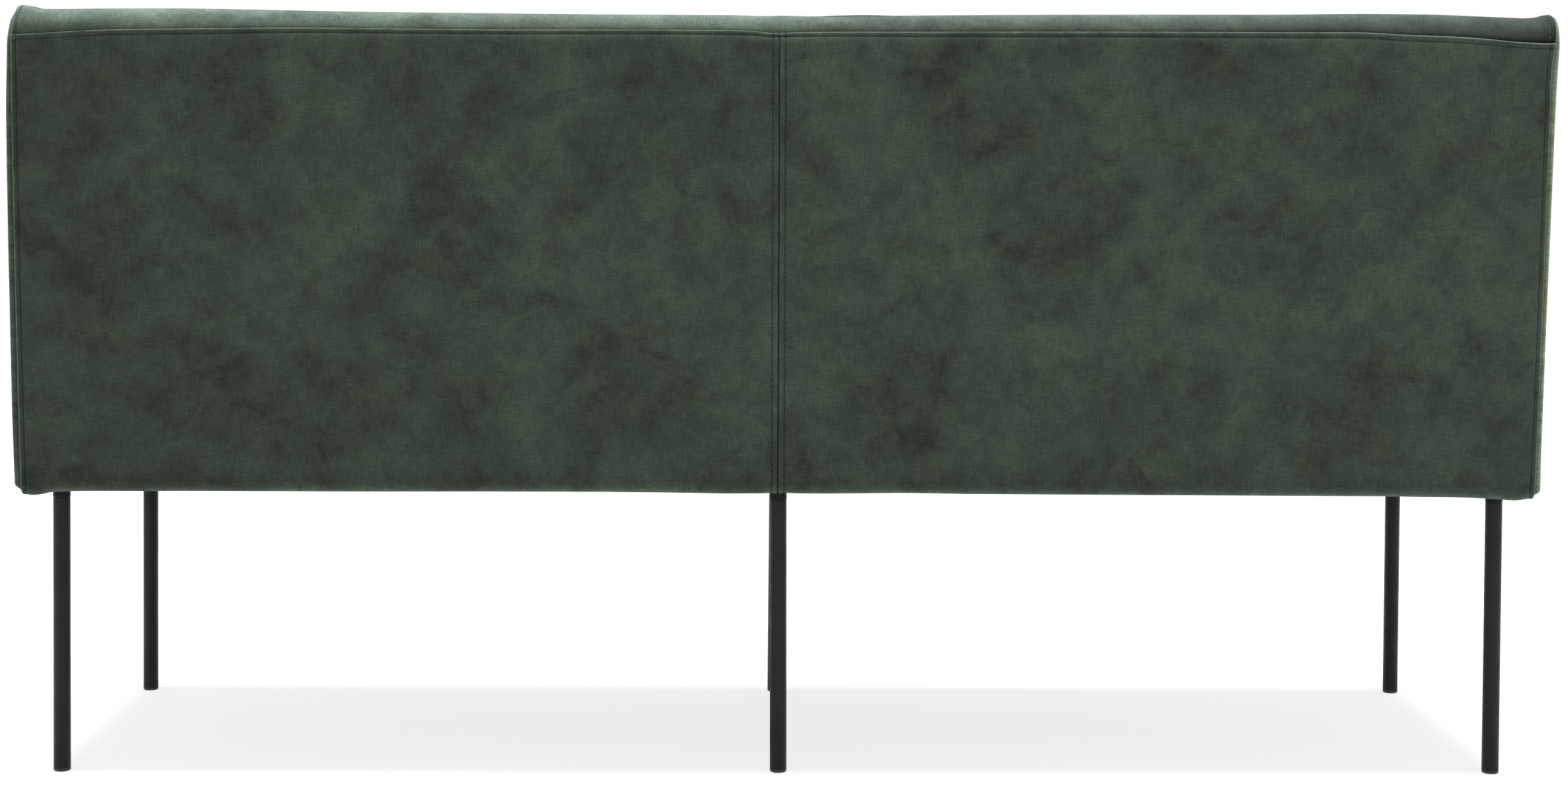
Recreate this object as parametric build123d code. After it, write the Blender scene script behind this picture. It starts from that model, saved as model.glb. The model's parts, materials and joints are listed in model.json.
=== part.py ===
from build123d import *
import os

# Dining bench with an upholstered seat and back on six tube legs. Millimetres, +Z up, floor at Z = 0.
# The front faces -Y and the length runs along X. Left and right are as seen from the front, so left is -X.
# The origin lies under the middle of the bench, on the floor.

# Overall sizes
OVERALL_WIDTH = 1800.0
OVERALL_DEPTH = 600.0
OVERALL_HEIGHT = 905.0
SEAT_HEIGHT = 495.0
SEAT_THICKNESS = 154.0

# Back: its rear face leans, and its top is a roll between two radii
BACK_TOP_THICKNESS = 95.0
REAR_FACE_SLANT = 38.0
REAR_FACE_CROWN = 4.0
REAR_ROLL_RADIUS = 40.0
INSIDE_BACK_SLANT = 75.0
INSIDE_BACK_CROWN = 6.0
FRONT_ROLL_RADIUS = 35.0

# Seat: a crowned top with a rounded front edge, falling into the crease at the foot of the back
SEAT_CROWN = 6.0
SEAT_FRONT_RADIUS = 32.0
SEAT_REAR_RADIUS = 32.0
CREASE_DROP = 17.0
CREASE_FALL_DEPTH = 20.0
CREASE_RADIUS = 6.0
BOTTOM_EDGE_RADIUS = 10.0
END_EDGE_RADIUS = 9.0

# Cover panels and the padding under them
COVER_THICKNESS = 2.0
COVER_WRAP_WIDTH = 24.0
REAR_SEAM_RISE = 2.0
END_PAD_THICKNESS = 10.0
FRONT_PAD_THICKNESS = 10.0
SEAT_PAD_THICKNESS = 65.0
TOP_PAD_THICKNESS = 21.0
REAR_PAD_THICKNESS = 8.0
BACK_FOAM_THICKNESS = 48.0
DUST_COVER_THICKNESS = 1.0

# Timber frame
RAIL_THICKNESS = 18.0
FRAME_THICKNESS = 18.0
BASE_RAIL_WIDTH = 70.0
BASE_RAIL_HEIGHT = 30.0
BACK_RAIL_HEIGHT = 60.0
BACK_RAIL_RISE = 40.0
TOP_RAIL_HEIGHT = 20.0
TOP_RAIL_EDGE_RADIUS = 6.0
BOARD_THICKNESS = 3.0
JOINT_CLEARANCE = 0.2
GLUE_BLOCK_LEG = 45.0
GLUE_BLOCK_HEIGHT = 40.0

# Seat webbing
STRAP_WIDTH = 60.0
STRAP_THICKNESS = 2.0
STRAP_CLEARANCE = 0.1
STRAP_FLAT_MARGIN = 6.0
STRAP_END_INSET = 2.0
CROSS_STRAPS_PER_BAY = 5
LONG_STRAPS_PER_BAY = 2

# Legs: tube, end disc and threaded stud, each welded into one piece
LEG_END_INSET = 44.25
LEG_FRONT_INSET = 63.5
LEG_REAR_INSET = 75.0
LEG_DIAMETER = 20.0
LEG_WALL = 1.5
LEG_DISC_HEIGHT = 5.0
LEG_DISC_PROUD = 0.5
STUD_DIAMETER = 10.0
STUD_LENGTH = 30.0

# Foot glide: a head under the tube and a barbed plug inside it
GLIDE_HEAD_HEIGHT = 4.0
GLIDE_HEAD_CHAMFER = 1.2
GLIDE_NECK_HEIGHT = 0.6
GLIDE_NECK_DEPTH = 0.8
GLIDE_PLUG_LENGTH = 18.0
GLIDE_PLUG_CLEARANCE = 0.8
GLIDE_BARB_CLEARANCE = 0.15
GLIDE_BARBS = 3

# Tee nut that takes the stud, pressed into the top of the base rail
TEE_FLANGE_DIAMETER = 24.0
TEE_FLANGE_THICKNESS = 1.8
TEE_BARREL_DIAMETER = 12.5
TEE_BARREL_LENGTH = 18.0
TEE_CLEARANCE = 0.1
TEE_POCKET_CLEARANCE = 2.0
TEE_POCKET_HEIGHT = 6.0

# One overrun for every cut
CUT_OVERRUN = 5.0

# Places worked out from the sizes above
HALF_WIDTH = OVERALL_WIDTH / 2
FRONT_Y = -OVERALL_DEPTH / 2
REAR_Y = OVERALL_DEPTH / 2
UNDERSIDE_HEIGHT = SEAT_HEIGHT - SEAT_THICKNESS
WOOD_BOTTOM = UNDERSIDE_HEIGHT + COVER_THICKNESS
BASE_RAIL_TOP = WOOD_BOTTOM + BASE_RAIL_HEIGHT
FRAME_HALF_WIDTH = HALF_WIDTH - COVER_THICKNESS - END_PAD_THICKNESS
FRAME_FRONT_Y = FRONT_Y + COVER_THICKNESS + FRONT_PAD_THICKNESS
SEAT_RAIL_INNER_Y = FRAME_FRONT_Y + RAIL_THICKNESS
SIDE_SEAM_X = HALF_WIDTH - END_EDGE_RADIUS
LEG_X = HALF_WIDTH - LEG_END_INSET
REAR_LEG_Y = REAR_Y - LEG_REAR_INSET
FRONT_LEG_Y = FRONT_Y + LEG_FRONT_INSET
LEG_TOP = WOOD_BOTTOM - DUST_COVER_THICKNESS
LEG_BOTTOM = GLIDE_HEAD_HEIGHT + GLIDE_NECK_HEIGHT
SEAT_RAIL_TOP = SEAT_HEIGHT - SEAT_PAD_THICKNESS
TOP_RAIL_TOP = OVERALL_HEIGHT - TOP_PAD_THICKNESS
TOP_RAIL_BOTTOM = TOP_RAIL_TOP - TOP_RAIL_HEIGHT
BOARD_TOP = TOP_RAIL_TOP - TOP_RAIL_EDGE_RADIUS
REAR_SEAM_HEIGHT = BOARD_TOP + REAR_SEAM_RISE
CREASE_HEIGHT = SEAT_HEIGHT - CREASE_DROP
BACK_LOWER_RAIL_BOTTOM = SEAT_RAIL_TOP + BACK_RAIL_RISE
BACK_MIDDLE_RAIL_BOTTOM = (BACK_LOWER_RAIL_BOTTOM + TOP_RAIL_BOTTOM) / 2
FOAM_BOTTOM = SEAT_RAIL_TOP + 2 * STRAP_THICKNESS + 2 * STRAP_CLEARANCE
LAP_HEIGHT = (BASE_RAIL_TOP + SEAT_RAIL_TOP) / 2
BODY_MIDDLE = (OVERALL_HEIGHT + UNDERSIDE_HEIGHT) / 2
BODY_HALF_HEIGHT = (OVERALL_HEIGHT - UNDERSIDE_HEIGHT) / 2

WHOLE_DEPTH = (FRONT_Y - CUT_OVERRUN, REAR_Y + CUT_OVERRUN)
WHOLE_HEIGHT = (0, OVERALL_HEIGHT + CUT_OVERRUN)
FRAME_LENGTH = (-FRAME_HALF_WIDTH, FRAME_HALF_WIDTH)

LEGS = {
    "rear_left": (-LEG_X, REAR_LEG_Y),
    "rear_centre": (0, REAR_LEG_Y),
    "rear_right": (LEG_X, REAR_LEG_Y),
    "front_left": (-LEG_X, FRONT_LEG_Y),
    "front_centre": (0, FRONT_LEG_Y),
    "front_right": (LEG_X, FRONT_LEG_Y),
}
END_FRAME_X = FRAME_HALF_WIDTH - FRAME_THICKNESS / 2
FRAMES = {"end_frame_left": -END_FRAME_X, "centre_frame": 0, "end_frame_right": END_FRAME_X}
SIDES = {"left": -1, "right": 1}


def inside_back_y(height):
    """The front face of the back, before its crown, at a height."""
    slope = INSIDE_BACK_SLANT / (OVERALL_HEIGHT - UNDERSIDE_HEIGHT)
    return REAR_Y - BACK_TOP_THICKNESS - slope * (OVERALL_HEIGHT - FRONT_ROLL_RADIUS - height)


def rear_face_y(height):
    """The rear face of the back, before its crown. With its crown, it reaches REAR_Y where the roll starts."""
    roll_height = OVERALL_HEIGHT - REAR_ROLL_RADIUS
    slope = REAR_FACE_SLANT / (roll_height - UNDERSIDE_HEIGHT)
    crown_there = REAR_FACE_CROWN * (1 - ((roll_height - BODY_MIDDLE) / BODY_HALF_HEIGHT) ** 2)
    return REAR_Y - crown_there - slope * (roll_height - height)


def back_board_y(height):
    """Where the back foam meets the board behind it."""
    return inside_back_y(height) + COVER_THICKNESS + BACK_FOAM_THICKNESS


def rear_board_y(height):
    """Where the rear padding meets the board in front of it."""
    return rear_face_y(height) - COVER_THICKNESS - REAR_PAD_THICKNESS


def upright_front_y(height):
    return back_board_y(height) + BOARD_THICKNESS


def upright_rear_y(height):
    return rear_board_y(height) - BOARD_THICKNESS


CREASE_Y = inside_back_y(CREASE_HEIGHT)
WRAP_INNER_X = HALF_WIDTH - COVER_WRAP_WIDTH
WRAP_FRONT_Y = FRONT_Y + COVER_WRAP_WIDTH
WRAP_REAR_Y = rear_face_y(UNDERSIDE_HEIGHT) - COVER_WRAP_WIDTH
BASE_FRONT_INNER_Y = FRAME_FRONT_Y + BASE_RAIL_WIDTH
BASE_REAR_INNER_Y = upright_rear_y(WOOD_BOTTOM) - BASE_RAIL_WIDTH


def zone(x_range, y_range, z_range):
    """A box from its two limits along each axis."""
    sides = [high - low for low, high in (x_range, y_range, z_range)]
    middle = [(low + high) / 2 for low, high in (x_range, y_range, z_range)]
    return Pos(*middle) * Box(*sides)


def slab(points, x_from, x_to):
    """An end-view outline, as (y, z) points, run along the bench from x_from to x_to."""
    face = Plane.YZ * make_face(Polyline(*points, close=True))
    return Pos(x_from, 0, 0) * extrude(face, x_to - x_from)


def round_corner(face, y, z, radius):
    corner = face.vertices().sort_by_distance((y, z))[0]
    return fillet(corner, radius)


def body_profile():
    """End view of the body: leaning back with a rolled top, crease, crowned seat with a rounded front edge."""
    rear_top = (rear_face_y(OVERALL_HEIGHT), OVERALL_HEIGHT)
    rear_foot = (rear_face_y(UNDERSIDE_HEIGHT), UNDERSIDE_HEIGHT)
    rear_middle = (rear_face_y(BODY_MIDDLE) + REAR_FACE_CROWN, BODY_MIDDLE)
    front_top = (inside_back_y(OVERALL_HEIGHT), OVERALL_HEIGHT)
    back_middle = (OVERALL_HEIGHT + CREASE_HEIGHT) / 2
    inside_middle = (inside_back_y(back_middle) - INSIDE_BACK_CROWN, back_middle)
    crease = (CREASE_Y, CREASE_HEIGHT)
    seat_rear = (CREASE_Y - CREASE_FALL_DEPTH, SEAT_HEIGHT - SEAT_CROWN)
    seat_middle = ((FRONT_Y + CREASE_Y - CREASE_FALL_DEPTH) / 2, SEAT_HEIGHT)
    seat_front = (FRONT_Y, SEAT_HEIGHT - SEAT_CROWN)
    front_foot = (FRONT_Y, UNDERSIDE_HEIGHT)
    outline = [
        ThreePointArc(rear_foot, rear_middle, rear_top),
        Line(rear_top, front_top),
        ThreePointArc(front_top, inside_middle, crease),
        Line(crease, seat_rear),
        ThreePointArc(seat_rear, seat_middle, seat_front),
        Line(seat_front, front_foot),
        Line(front_foot, rear_foot),
    ]
    face = make_face(Curve() + outline)
    rounded = {
        rear_top: REAR_ROLL_RADIUS,
        front_top: FRONT_ROLL_RADIUS,
        crease: CREASE_RADIUS,
        seat_rear: SEAT_REAR_RADIUS,
        seat_front: SEAT_FRONT_RADIUS,
        front_foot: BOTTOM_EDGE_RADIUS,
        rear_foot: BOTTOM_EDGE_RADIUS,
    }
    for (y, z), radius in rounded.items():
        face = round_corner(face, y, z, radius)
    return face


def body_form(inset):
    """The upholstered body drawn in by the inset: an L run along the bench, with its end edges rounded."""
    face = body_profile()
    if inset:
        face = offset(face, amount=-inset)
    half = HALF_WIDTH - inset
    block = extrude(Plane.YZ * face, half, both=True)
    ends = block.edges().filter_by_position(Axis.X, half, half)
    ends += block.edges().filter_by_position(Axis.X, -half, -half)
    return fillet(ends, END_EDGE_RADIUS - inset)


def cover_skin():
    """The cover all over, open under the bench inside its stapled wrap."""
    opening = zone(
        (-WRAP_INNER_X, WRAP_INNER_X),
        (WRAP_FRONT_Y, WRAP_REAR_Y),
        (UNDERSIDE_HEIGHT - CUT_OVERRUN, WOOD_BOTTOM + CUT_OVERRUN),
    )
    return body_form(0) - body_form(COVER_THICKNESS) - opening


def end_zone(side, from_x, y_range, z_range):
    """Everything beyond from_x at one end of the bench, between two depths and two heights."""
    far = HALF_WIDTH + CUT_OVERRUN
    x_range = (from_x, far) if side > 0 else (-far, -from_x)
    return zone(x_range, y_range, z_range)


def side_cover_zone(side):
    """The end of the bench beyond the side seam, with the wrap under it."""
    upper = end_zone(side, SIDE_SEAM_X, WHOLE_DEPTH, WHOLE_HEIGHT)
    wrap_top = UNDERSIDE_HEIGHT + END_EDGE_RADIUS
    return upper + end_zone(side, WRAP_INNER_X, (WRAP_FRONT_Y, WRAP_REAR_Y), (0, wrap_top))


def half_zone(side, y_range, z_range):
    """One half of the bench, split at the centre seam."""
    far = HALF_WIDTH + CUT_OVERRUN
    x_range = (0, far) if side > 0 else (-far, 0)
    return zone(x_range, y_range, z_range)


def cover_panels():
    """Eight panels of fabric that meet at the seams."""
    skin = cover_skin()
    main = skin
    panels = {}
    for name, side in SIDES.items():
        end = side_cover_zone(side)
        panels[f"side_cover_{name}"] = skin & end
        main = main - end
    low, high = WHOLE_DEPTH
    for name, side in SIDES.items():
        rear = half_zone(side, (WRAP_REAR_Y, high), (0, REAR_SEAM_HEIGHT))
        seat = half_zone(side, (low, CREASE_Y), WHOLE_HEIGHT)
        back = half_zone(side, (CREASE_Y, high), WHOLE_HEIGHT)
        panels[f"rear_cover_{name}"] = main & rear
        panels[f"seat_cover_{name}"] = main & seat
        panels[f"inside_back_cover_{name}"] = (main & back) - rear
    return panels


def seat_region():
    """The space of the seat foam: in front of the crease, and below it in front of the back foam."""
    top = SEAT_HEIGHT + CUT_OVERRUN
    front, _ = WHOLE_DEPTH
    outline = [
        (front, FOAM_BOTTOM),
        (inside_back_y(FOAM_BOTTOM), FOAM_BOTTOM),
        (CREASE_Y, CREASE_HEIGHT),
        (CREASE_Y, top),
        (front, top),
    ]
    return slab(outline, *FRAME_LENGTH)


def padding():
    """Foam and wadding between the frame and the cover."""
    body = body_form(COVER_THICKNESS)
    pieces = {}
    for name, side in SIDES.items():
        pieces[f"side_wadding_{name}"] = body & end_zone(side, FRAME_HALF_WIDTH, WHOLE_DEPTH, WHOLE_HEIGHT)
    inner = body & zone(FRAME_LENGTH, WHOLE_DEPTH, WHOLE_HEIGHT)
    _, rear = WHOLE_DEPTH
    behind = slab(
        [
            (rear_board_y(WOOD_BOTTOM), WOOD_BOTTOM),
            (rear_board_y(REAR_SEAM_HEIGHT), REAR_SEAM_HEIGHT),
            (rear, REAR_SEAM_HEIGHT),
            (rear, WOOD_BOTTOM),
        ],
        *FRAME_LENGTH,
    )
    core = slab(
        [
            (back_board_y(0), 0),
            (back_board_y(TOP_RAIL_TOP), TOP_RAIL_TOP),
            (rear_board_y(TOP_RAIL_TOP), TOP_RAIL_TOP),
            (rear_board_y(0), 0),
        ],
        *FRAME_LENGTH,
    )
    above = zone(FRAME_LENGTH, WHOLE_DEPTH, (FOAM_BOTTOM, OVERALL_HEIGHT))
    pieces["rear_wadding"] = inner & behind
    pieces["seat_foam"] = inner & seat_region()
    pieces["back_foam"] = (inner & above) - core - behind - seat_region()
    pieces["front_wadding"] = inner & zone(FRAME_LENGTH, (FRONT_Y, FRAME_FRONT_Y), (WOOD_BOTTOM, FOAM_BOTTOM))
    return pieces


def dust_cover():
    """Thin black cloth that closes the underside, pierced by the leg studs."""
    sheet = zone((-WRAP_INNER_X, WRAP_INNER_X), (WRAP_FRONT_Y, WRAP_REAR_Y), (LEG_TOP, WOOD_BOTTOM))
    hole = Cylinder(STUD_DIAMETER / 2 + TEE_CLEARANCE, BASE_RAIL_HEIGHT)
    for x, y in LEGS.values():
        sheet -= Pos(x, y, LEG_TOP) * hole
    return sheet


def bored(rail):
    """A base rail with a hole for the tee nut of each leg."""
    hole = Cylinder(TEE_BARREL_DIAMETER / 2 + TEE_CLEARANCE, 2 * (BASE_RAIL_HEIGHT + CUT_OVERRUN))
    for x, y in LEGS.values():
        rail = rail - Pos(x, y, WOOD_BOTTOM) * hole
    return rail


def base_rails():
    """Flat rails that carry the legs. The rear one is ripped to the slant of the rear face."""
    front = zone(FRAME_LENGTH, (FRAME_FRONT_Y, BASE_FRONT_INNER_Y), (WOOD_BOTTOM, BASE_RAIL_TOP))
    rear = slab(
        [
            (BASE_REAR_INNER_Y, WOOD_BOTTOM),
            (upright_rear_y(WOOD_BOTTOM), WOOD_BOTTOM),
            (upright_rear_y(BASE_RAIL_TOP), BASE_RAIL_TOP),
            (BASE_REAR_INNER_Y, BASE_RAIL_TOP),
        ],
        *FRAME_LENGTH,
    )
    return {"base_rail_front": bored(front), "base_rail_rear": bored(rear)}


def seat_front_rail():
    return zone(FRAME_LENGTH, (FRAME_FRONT_Y, SEAT_RAIL_INNER_Y), (BASE_RAIL_TOP, SEAT_RAIL_TOP))


def seat_rear_rail():
    """Half-lapped over each frame, so the two lock together."""
    y_range = (BASE_REAR_INNER_Y, BASE_REAR_INNER_Y + RAIL_THICKNESS)
    rail = zone(FRAME_LENGTH, y_range, (BASE_RAIL_TOP, SEAT_RAIL_TOP))
    half = FRAME_THICKNESS / 2 + JOINT_CLEARANCE
    for x in FRAMES.values():
        lap = zone((x - half, x + half), y_range, (BASE_RAIL_TOP - CUT_OVERRUN, LAP_HEIGHT))
        rail = rail - lap
    return rail


def back_rail(bottom, gap=0):
    """A rail let into the front edges of the uprights, along their slant. The gap makes its notch."""
    top = bottom + BACK_RAIL_HEIGHT + gap
    bottom = bottom - gap
    depth = RAIL_THICKNESS + gap
    return slab(
        [
            (upright_front_y(bottom), bottom),
            (upright_front_y(bottom) + depth, bottom),
            (upright_front_y(top) + depth, top),
            (upright_front_y(top), top),
        ],
        *FRAME_LENGTH,
    )


def back_top_rail():
    """Caps the uprights, with both upper edges eased for the foam."""
    rail = slab(
        [
            (upright_front_y(TOP_RAIL_BOTTOM), TOP_RAIL_BOTTOM),
            (upright_front_y(TOP_RAIL_TOP), TOP_RAIL_TOP),
            (upright_rear_y(TOP_RAIL_TOP), TOP_RAIL_TOP),
            (upright_rear_y(TOP_RAIL_BOTTOM), TOP_RAIL_BOTTOM),
        ],
        *FRAME_LENGTH,
    )
    edges = rail.edges().filter_by(Axis.X).filter_by_position(Axis.Z, TOP_RAIL_TOP, TOP_RAIL_TOP)
    return fillet(edges, TOP_RAIL_EDGE_RADIUS)


def l_frame(x):
    """An L cut from sheet: seat bearer and leaning upright, notched for every rail it meets."""
    outline = [
        (SEAT_RAIL_INNER_Y, SEAT_RAIL_TOP),
        (upright_front_y(SEAT_RAIL_TOP), SEAT_RAIL_TOP),
        (upright_front_y(TOP_RAIL_BOTTOM), TOP_RAIL_BOTTOM),
        (upright_rear_y(TOP_RAIL_BOTTOM), TOP_RAIL_BOTTOM),
        (upright_rear_y(BASE_RAIL_TOP), BASE_RAIL_TOP),
        (BASE_REAR_INNER_Y, BASE_RAIL_TOP),
        (BASE_REAR_INNER_Y, WOOD_BOTTOM),
        (BASE_FRONT_INNER_Y, WOOD_BOTTOM),
        (BASE_FRONT_INNER_Y, BASE_RAIL_TOP),
        (SEAT_RAIL_INNER_Y, BASE_RAIL_TOP),
    ]
    frame = slab(outline, x - FRAME_THICKNESS / 2, x + FRAME_THICKNESS / 2)
    lap = zone(
        (-HALF_WIDTH, HALF_WIDTH),
        (BASE_REAR_INNER_Y - JOINT_CLEARANCE, BASE_REAR_INNER_Y + RAIL_THICKNESS + JOINT_CLEARANCE),
        (LAP_HEIGHT, SEAT_RAIL_TOP + CUT_OVERRUN),
    )
    frame = frame - lap
    for bottom in (BACK_LOWER_RAIL_BOTTOM, BACK_MIDDLE_RAIL_BOTTOM):
        frame = frame - back_rail(bottom, JOINT_CLEARANCE)
    pocket = Cylinder(TEE_FLANGE_DIAMETER / 2 + TEE_POCKET_CLEARANCE, 2 * TEE_POCKET_HEIGHT)
    for leg_x, leg_y in LEGS.values():
        frame = frame - Pos(leg_x, leg_y, BASE_RAIL_TOP) * pocket
    return frame


def boards():
    """Thin boards on the front and rear edges of the uprights."""
    front = slab(
        [
            (back_board_y(FOAM_BOTTOM), FOAM_BOTTOM),
            (upright_front_y(FOAM_BOTTOM), FOAM_BOTTOM),
            (upright_front_y(BOARD_TOP), BOARD_TOP),
            (back_board_y(BOARD_TOP), BOARD_TOP),
        ],
        *FRAME_LENGTH,
    )
    rear = slab(
        [
            (upright_rear_y(WOOD_BOTTOM), WOOD_BOTTOM),
            (rear_board_y(WOOD_BOTTOM), WOOD_BOTTOM),
            (rear_board_y(BOARD_TOP), BOARD_TOP),
            (upright_rear_y(BOARD_TOP), BOARD_TOP),
        ],
        *FRAME_LENGTH,
    )
    return {"back_board": front, "rear_board": rear}


def glue_blocks():
    """Triangular blocks between the front rail and the faces of the frames."""
    face = make_face(Polyline((0, 0), (GLUE_BLOCK_LEG, 0), (0, GLUE_BLOCK_LEG), close=True))
    block = extrude(face, GLUE_BLOCK_HEIGHT)
    bottom = SEAT_RAIL_TOP - GLUE_BLOCK_HEIGHT
    blocks = []
    for corner_x, turn in (
        (FRAME_THICKNESS / 2, 1),
        (FRAME_HALF_WIDTH - FRAME_THICKNESS, -1),
        (FRAME_THICKNESS - FRAME_HALF_WIDTH, 1),
        (-FRAME_THICKNESS / 2, -1),
    ):
        shape = block if turn > 0 else mirror(block, Plane.YZ)
        blocks.append(Pos(corner_x, SEAT_RAIL_INNER_Y, bottom) * shape)
    return Compound(children=blocks)


def cross_strap_places():
    """Middle of each front-to-rear strap in the right-hand bay."""
    first = FRAME_THICKNESS / 2
    last = FRAME_HALF_WIDTH - FRAME_THICKNESS
    pitch = (last - first) / (CROSS_STRAPS_PER_BAY + 1)
    return [first + pitch * (index + 1) for index in range(CROSS_STRAPS_PER_BAY)]


def long_strap(phase):
    """A strap that weaves over and under the cross straps of the right-hand bay."""
    step = STRAP_THICKNESS + STRAP_CLEARANCE
    reach = STRAP_WIDTH / 2 + STRAP_FLAT_MARGIN
    path = [(STRAP_END_INSET, SEAT_RAIL_TOP), (FRAME_THICKNESS / 2, SEAT_RAIL_TOP)]
    for index, x in enumerate(cross_strap_places()):
        over = (index + phase) % 2 == 0
        height = SEAT_RAIL_TOP + (step if over else -step)
        path += [(x - reach, height), (x + reach, height)]
    path.append((FRAME_HALF_WIDTH - FRAME_THICKNESS, SEAT_RAIL_TOP))
    path.append((FRAME_HALF_WIDTH - STRAP_END_INSET, SEAT_RAIL_TOP))
    upper = [(x, z + STRAP_THICKNESS) for x, z in reversed(path)]
    face = Plane.XZ * make_face(Polyline(*path, *upper, close=True))
    return extrude(face, STRAP_WIDTH / 2, both=True)


def webbing_bay(side):
    """Interlaced elastic straps over one half of the seat."""
    front = FRAME_FRONT_Y + STRAP_END_INSET
    rear = BASE_REAR_INNER_Y + RAIL_THICKNESS - STRAP_END_INSET
    straps = []
    for x in cross_strap_places():
        x_range = (x - STRAP_WIDTH / 2, x + STRAP_WIDTH / 2)
        straps.append(zone(x_range, (front, rear), (SEAT_RAIL_TOP, SEAT_RAIL_TOP + STRAP_THICKNESS)))
    pitch = (rear - front) / (LONG_STRAPS_PER_BAY + 1)
    for index in range(LONG_STRAPS_PER_BAY):
        straps.append(Pos(0, front + pitch * (index + 1), 0) * long_strap(index))
    if side < 0:
        straps = [mirror(strap, Plane.YZ) for strap in straps]
    return Compound(children=straps)


def leg():
    """Tube with a closing disc and a threaded stud, on its own axis at floor level."""
    outer = LEG_DIAMETER / 2
    inner = outer - LEG_WALL
    disc = outer + LEG_DISC_PROUD
    disc_bottom = LEG_TOP - LEG_DISC_HEIGHT
    stud = STUD_DIAMETER / 2
    stud_top = LEG_TOP + STUD_LENGTH
    outline = Polyline(
        (inner, LEG_BOTTOM),
        (outer, LEG_BOTTOM),
        (outer, disc_bottom),
        (disc, disc_bottom + LEG_DISC_PROUD),
        (disc, LEG_TOP),
        (stud, LEG_TOP),
        (stud, stud_top),
        (0, stud_top),
        (0, disc_bottom),
        (inner, disc_bottom),
        close=True,
    )
    return revolve(Plane.XZ * make_face(outline), Axis.Z)


def foot_glide():
    """Push-in glide: eased head, shadow gap, and a plug with barbs that grip the tube."""
    head = LEG_DIAMETER / 2
    neck = head - GLIDE_NECK_DEPTH
    bore = head - LEG_WALL
    plug = bore - GLIDE_PLUG_CLEARANCE
    barb = bore - GLIDE_BARB_CLEARANCE
    pitch = GLIDE_PLUG_LENGTH / GLIDE_BARBS
    points = [(0, 0), (head - GLIDE_HEAD_CHAMFER, 0), (head, GLIDE_HEAD_CHAMFER), (head, GLIDE_HEAD_HEIGHT)]
    points += [(neck, GLIDE_HEAD_HEIGHT), (neck, LEG_BOTTOM)]
    for index in range(GLIDE_BARBS):
        foot = LEG_BOTTOM + pitch * index
        points += [(barb, foot), (plug, foot + pitch)]
    points.append((0, LEG_BOTTOM + GLIDE_PLUG_LENGTH))
    return revolve(Plane.XZ * make_face(Polyline(*points, close=True)), Axis.Z)


def tee_nut():
    """Flange on top of the base rail and a barrel down into it."""
    stud_hole = STUD_DIAMETER / 2 + TEE_CLEARANCE
    barrel = TEE_BARREL_DIAMETER / 2
    flange = TEE_FLANGE_DIAMETER / 2
    top = BASE_RAIL_TOP + TEE_FLANGE_THICKNESS
    outline = Polyline(
        (stud_hole, BASE_RAIL_TOP - TEE_BARREL_LENGTH),
        (barrel, BASE_RAIL_TOP - TEE_BARREL_LENGTH),
        (barrel, BASE_RAIL_TOP),
        (flange, BASE_RAIL_TOP),
        (flange, top),
        (stud_hole, top),
        close=True,
    )
    return revolve(Plane.XZ * make_face(outline), Axis.Z)


def all_nodes():
    nodes = {}
    nodes.update(cover_panels())
    nodes.update(padding())
    nodes.update(base_rails())
    nodes.update(boards())
    nodes["dust_cover"] = dust_cover()
    nodes["seat_front_rail"] = seat_front_rail()
    nodes["seat_rear_rail"] = seat_rear_rail()
    nodes["back_lower_rail"] = back_rail(BACK_LOWER_RAIL_BOTTOM)
    nodes["back_middle_rail"] = back_rail(BACK_MIDDLE_RAIL_BOTTOM)
    nodes["back_top_rail"] = back_top_rail()
    for name, x in FRAMES.items():
        nodes[name] = l_frame(x)
    nodes["glue_blocks"] = glue_blocks()
    for name, side in SIDES.items():
        nodes[f"seat_webbing_{name}"] = webbing_bay(side)
    for name, (x, y) in LEGS.items():
        nodes[f"leg_{name}"] = Pos(x, y, 0) * leg()
        nodes[f"foot_glide_{name}"] = Pos(x, y, 0) * foot_glide()
    nodes["leg_tee_nuts"] = Compound(children=[Pos(x, y, 0) * tee_nut() for x, y in LEGS.values()])
    return nodes


os.makedirs("parts", exist_ok=True)
for node_name, node_shape in all_nodes().items():
    export_step(node_shape, f"parts/{node_name}.step")
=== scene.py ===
import json
import math

import bpy
import numpy as np
from mathutils import Matrix, Vector, noise
from mathutils.geometry import delaunay_2d_cdt


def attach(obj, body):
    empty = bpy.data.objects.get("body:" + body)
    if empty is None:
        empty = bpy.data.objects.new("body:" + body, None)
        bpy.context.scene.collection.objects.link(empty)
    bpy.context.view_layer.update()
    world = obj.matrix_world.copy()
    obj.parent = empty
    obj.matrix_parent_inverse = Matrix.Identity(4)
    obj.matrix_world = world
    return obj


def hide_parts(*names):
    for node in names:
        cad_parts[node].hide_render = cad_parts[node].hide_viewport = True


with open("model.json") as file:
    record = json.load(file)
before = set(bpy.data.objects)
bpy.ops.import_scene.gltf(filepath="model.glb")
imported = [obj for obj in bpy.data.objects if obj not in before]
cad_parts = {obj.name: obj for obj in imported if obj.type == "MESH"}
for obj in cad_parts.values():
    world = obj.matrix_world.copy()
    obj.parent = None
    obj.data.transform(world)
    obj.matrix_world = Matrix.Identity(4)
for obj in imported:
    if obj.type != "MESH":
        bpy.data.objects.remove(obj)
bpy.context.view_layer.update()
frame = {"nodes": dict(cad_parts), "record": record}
nodes = frame["nodes"]
scene = bpy.context.scene
MM = 0.001
SIDES = (("left", -1), ("right", 1))

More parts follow.
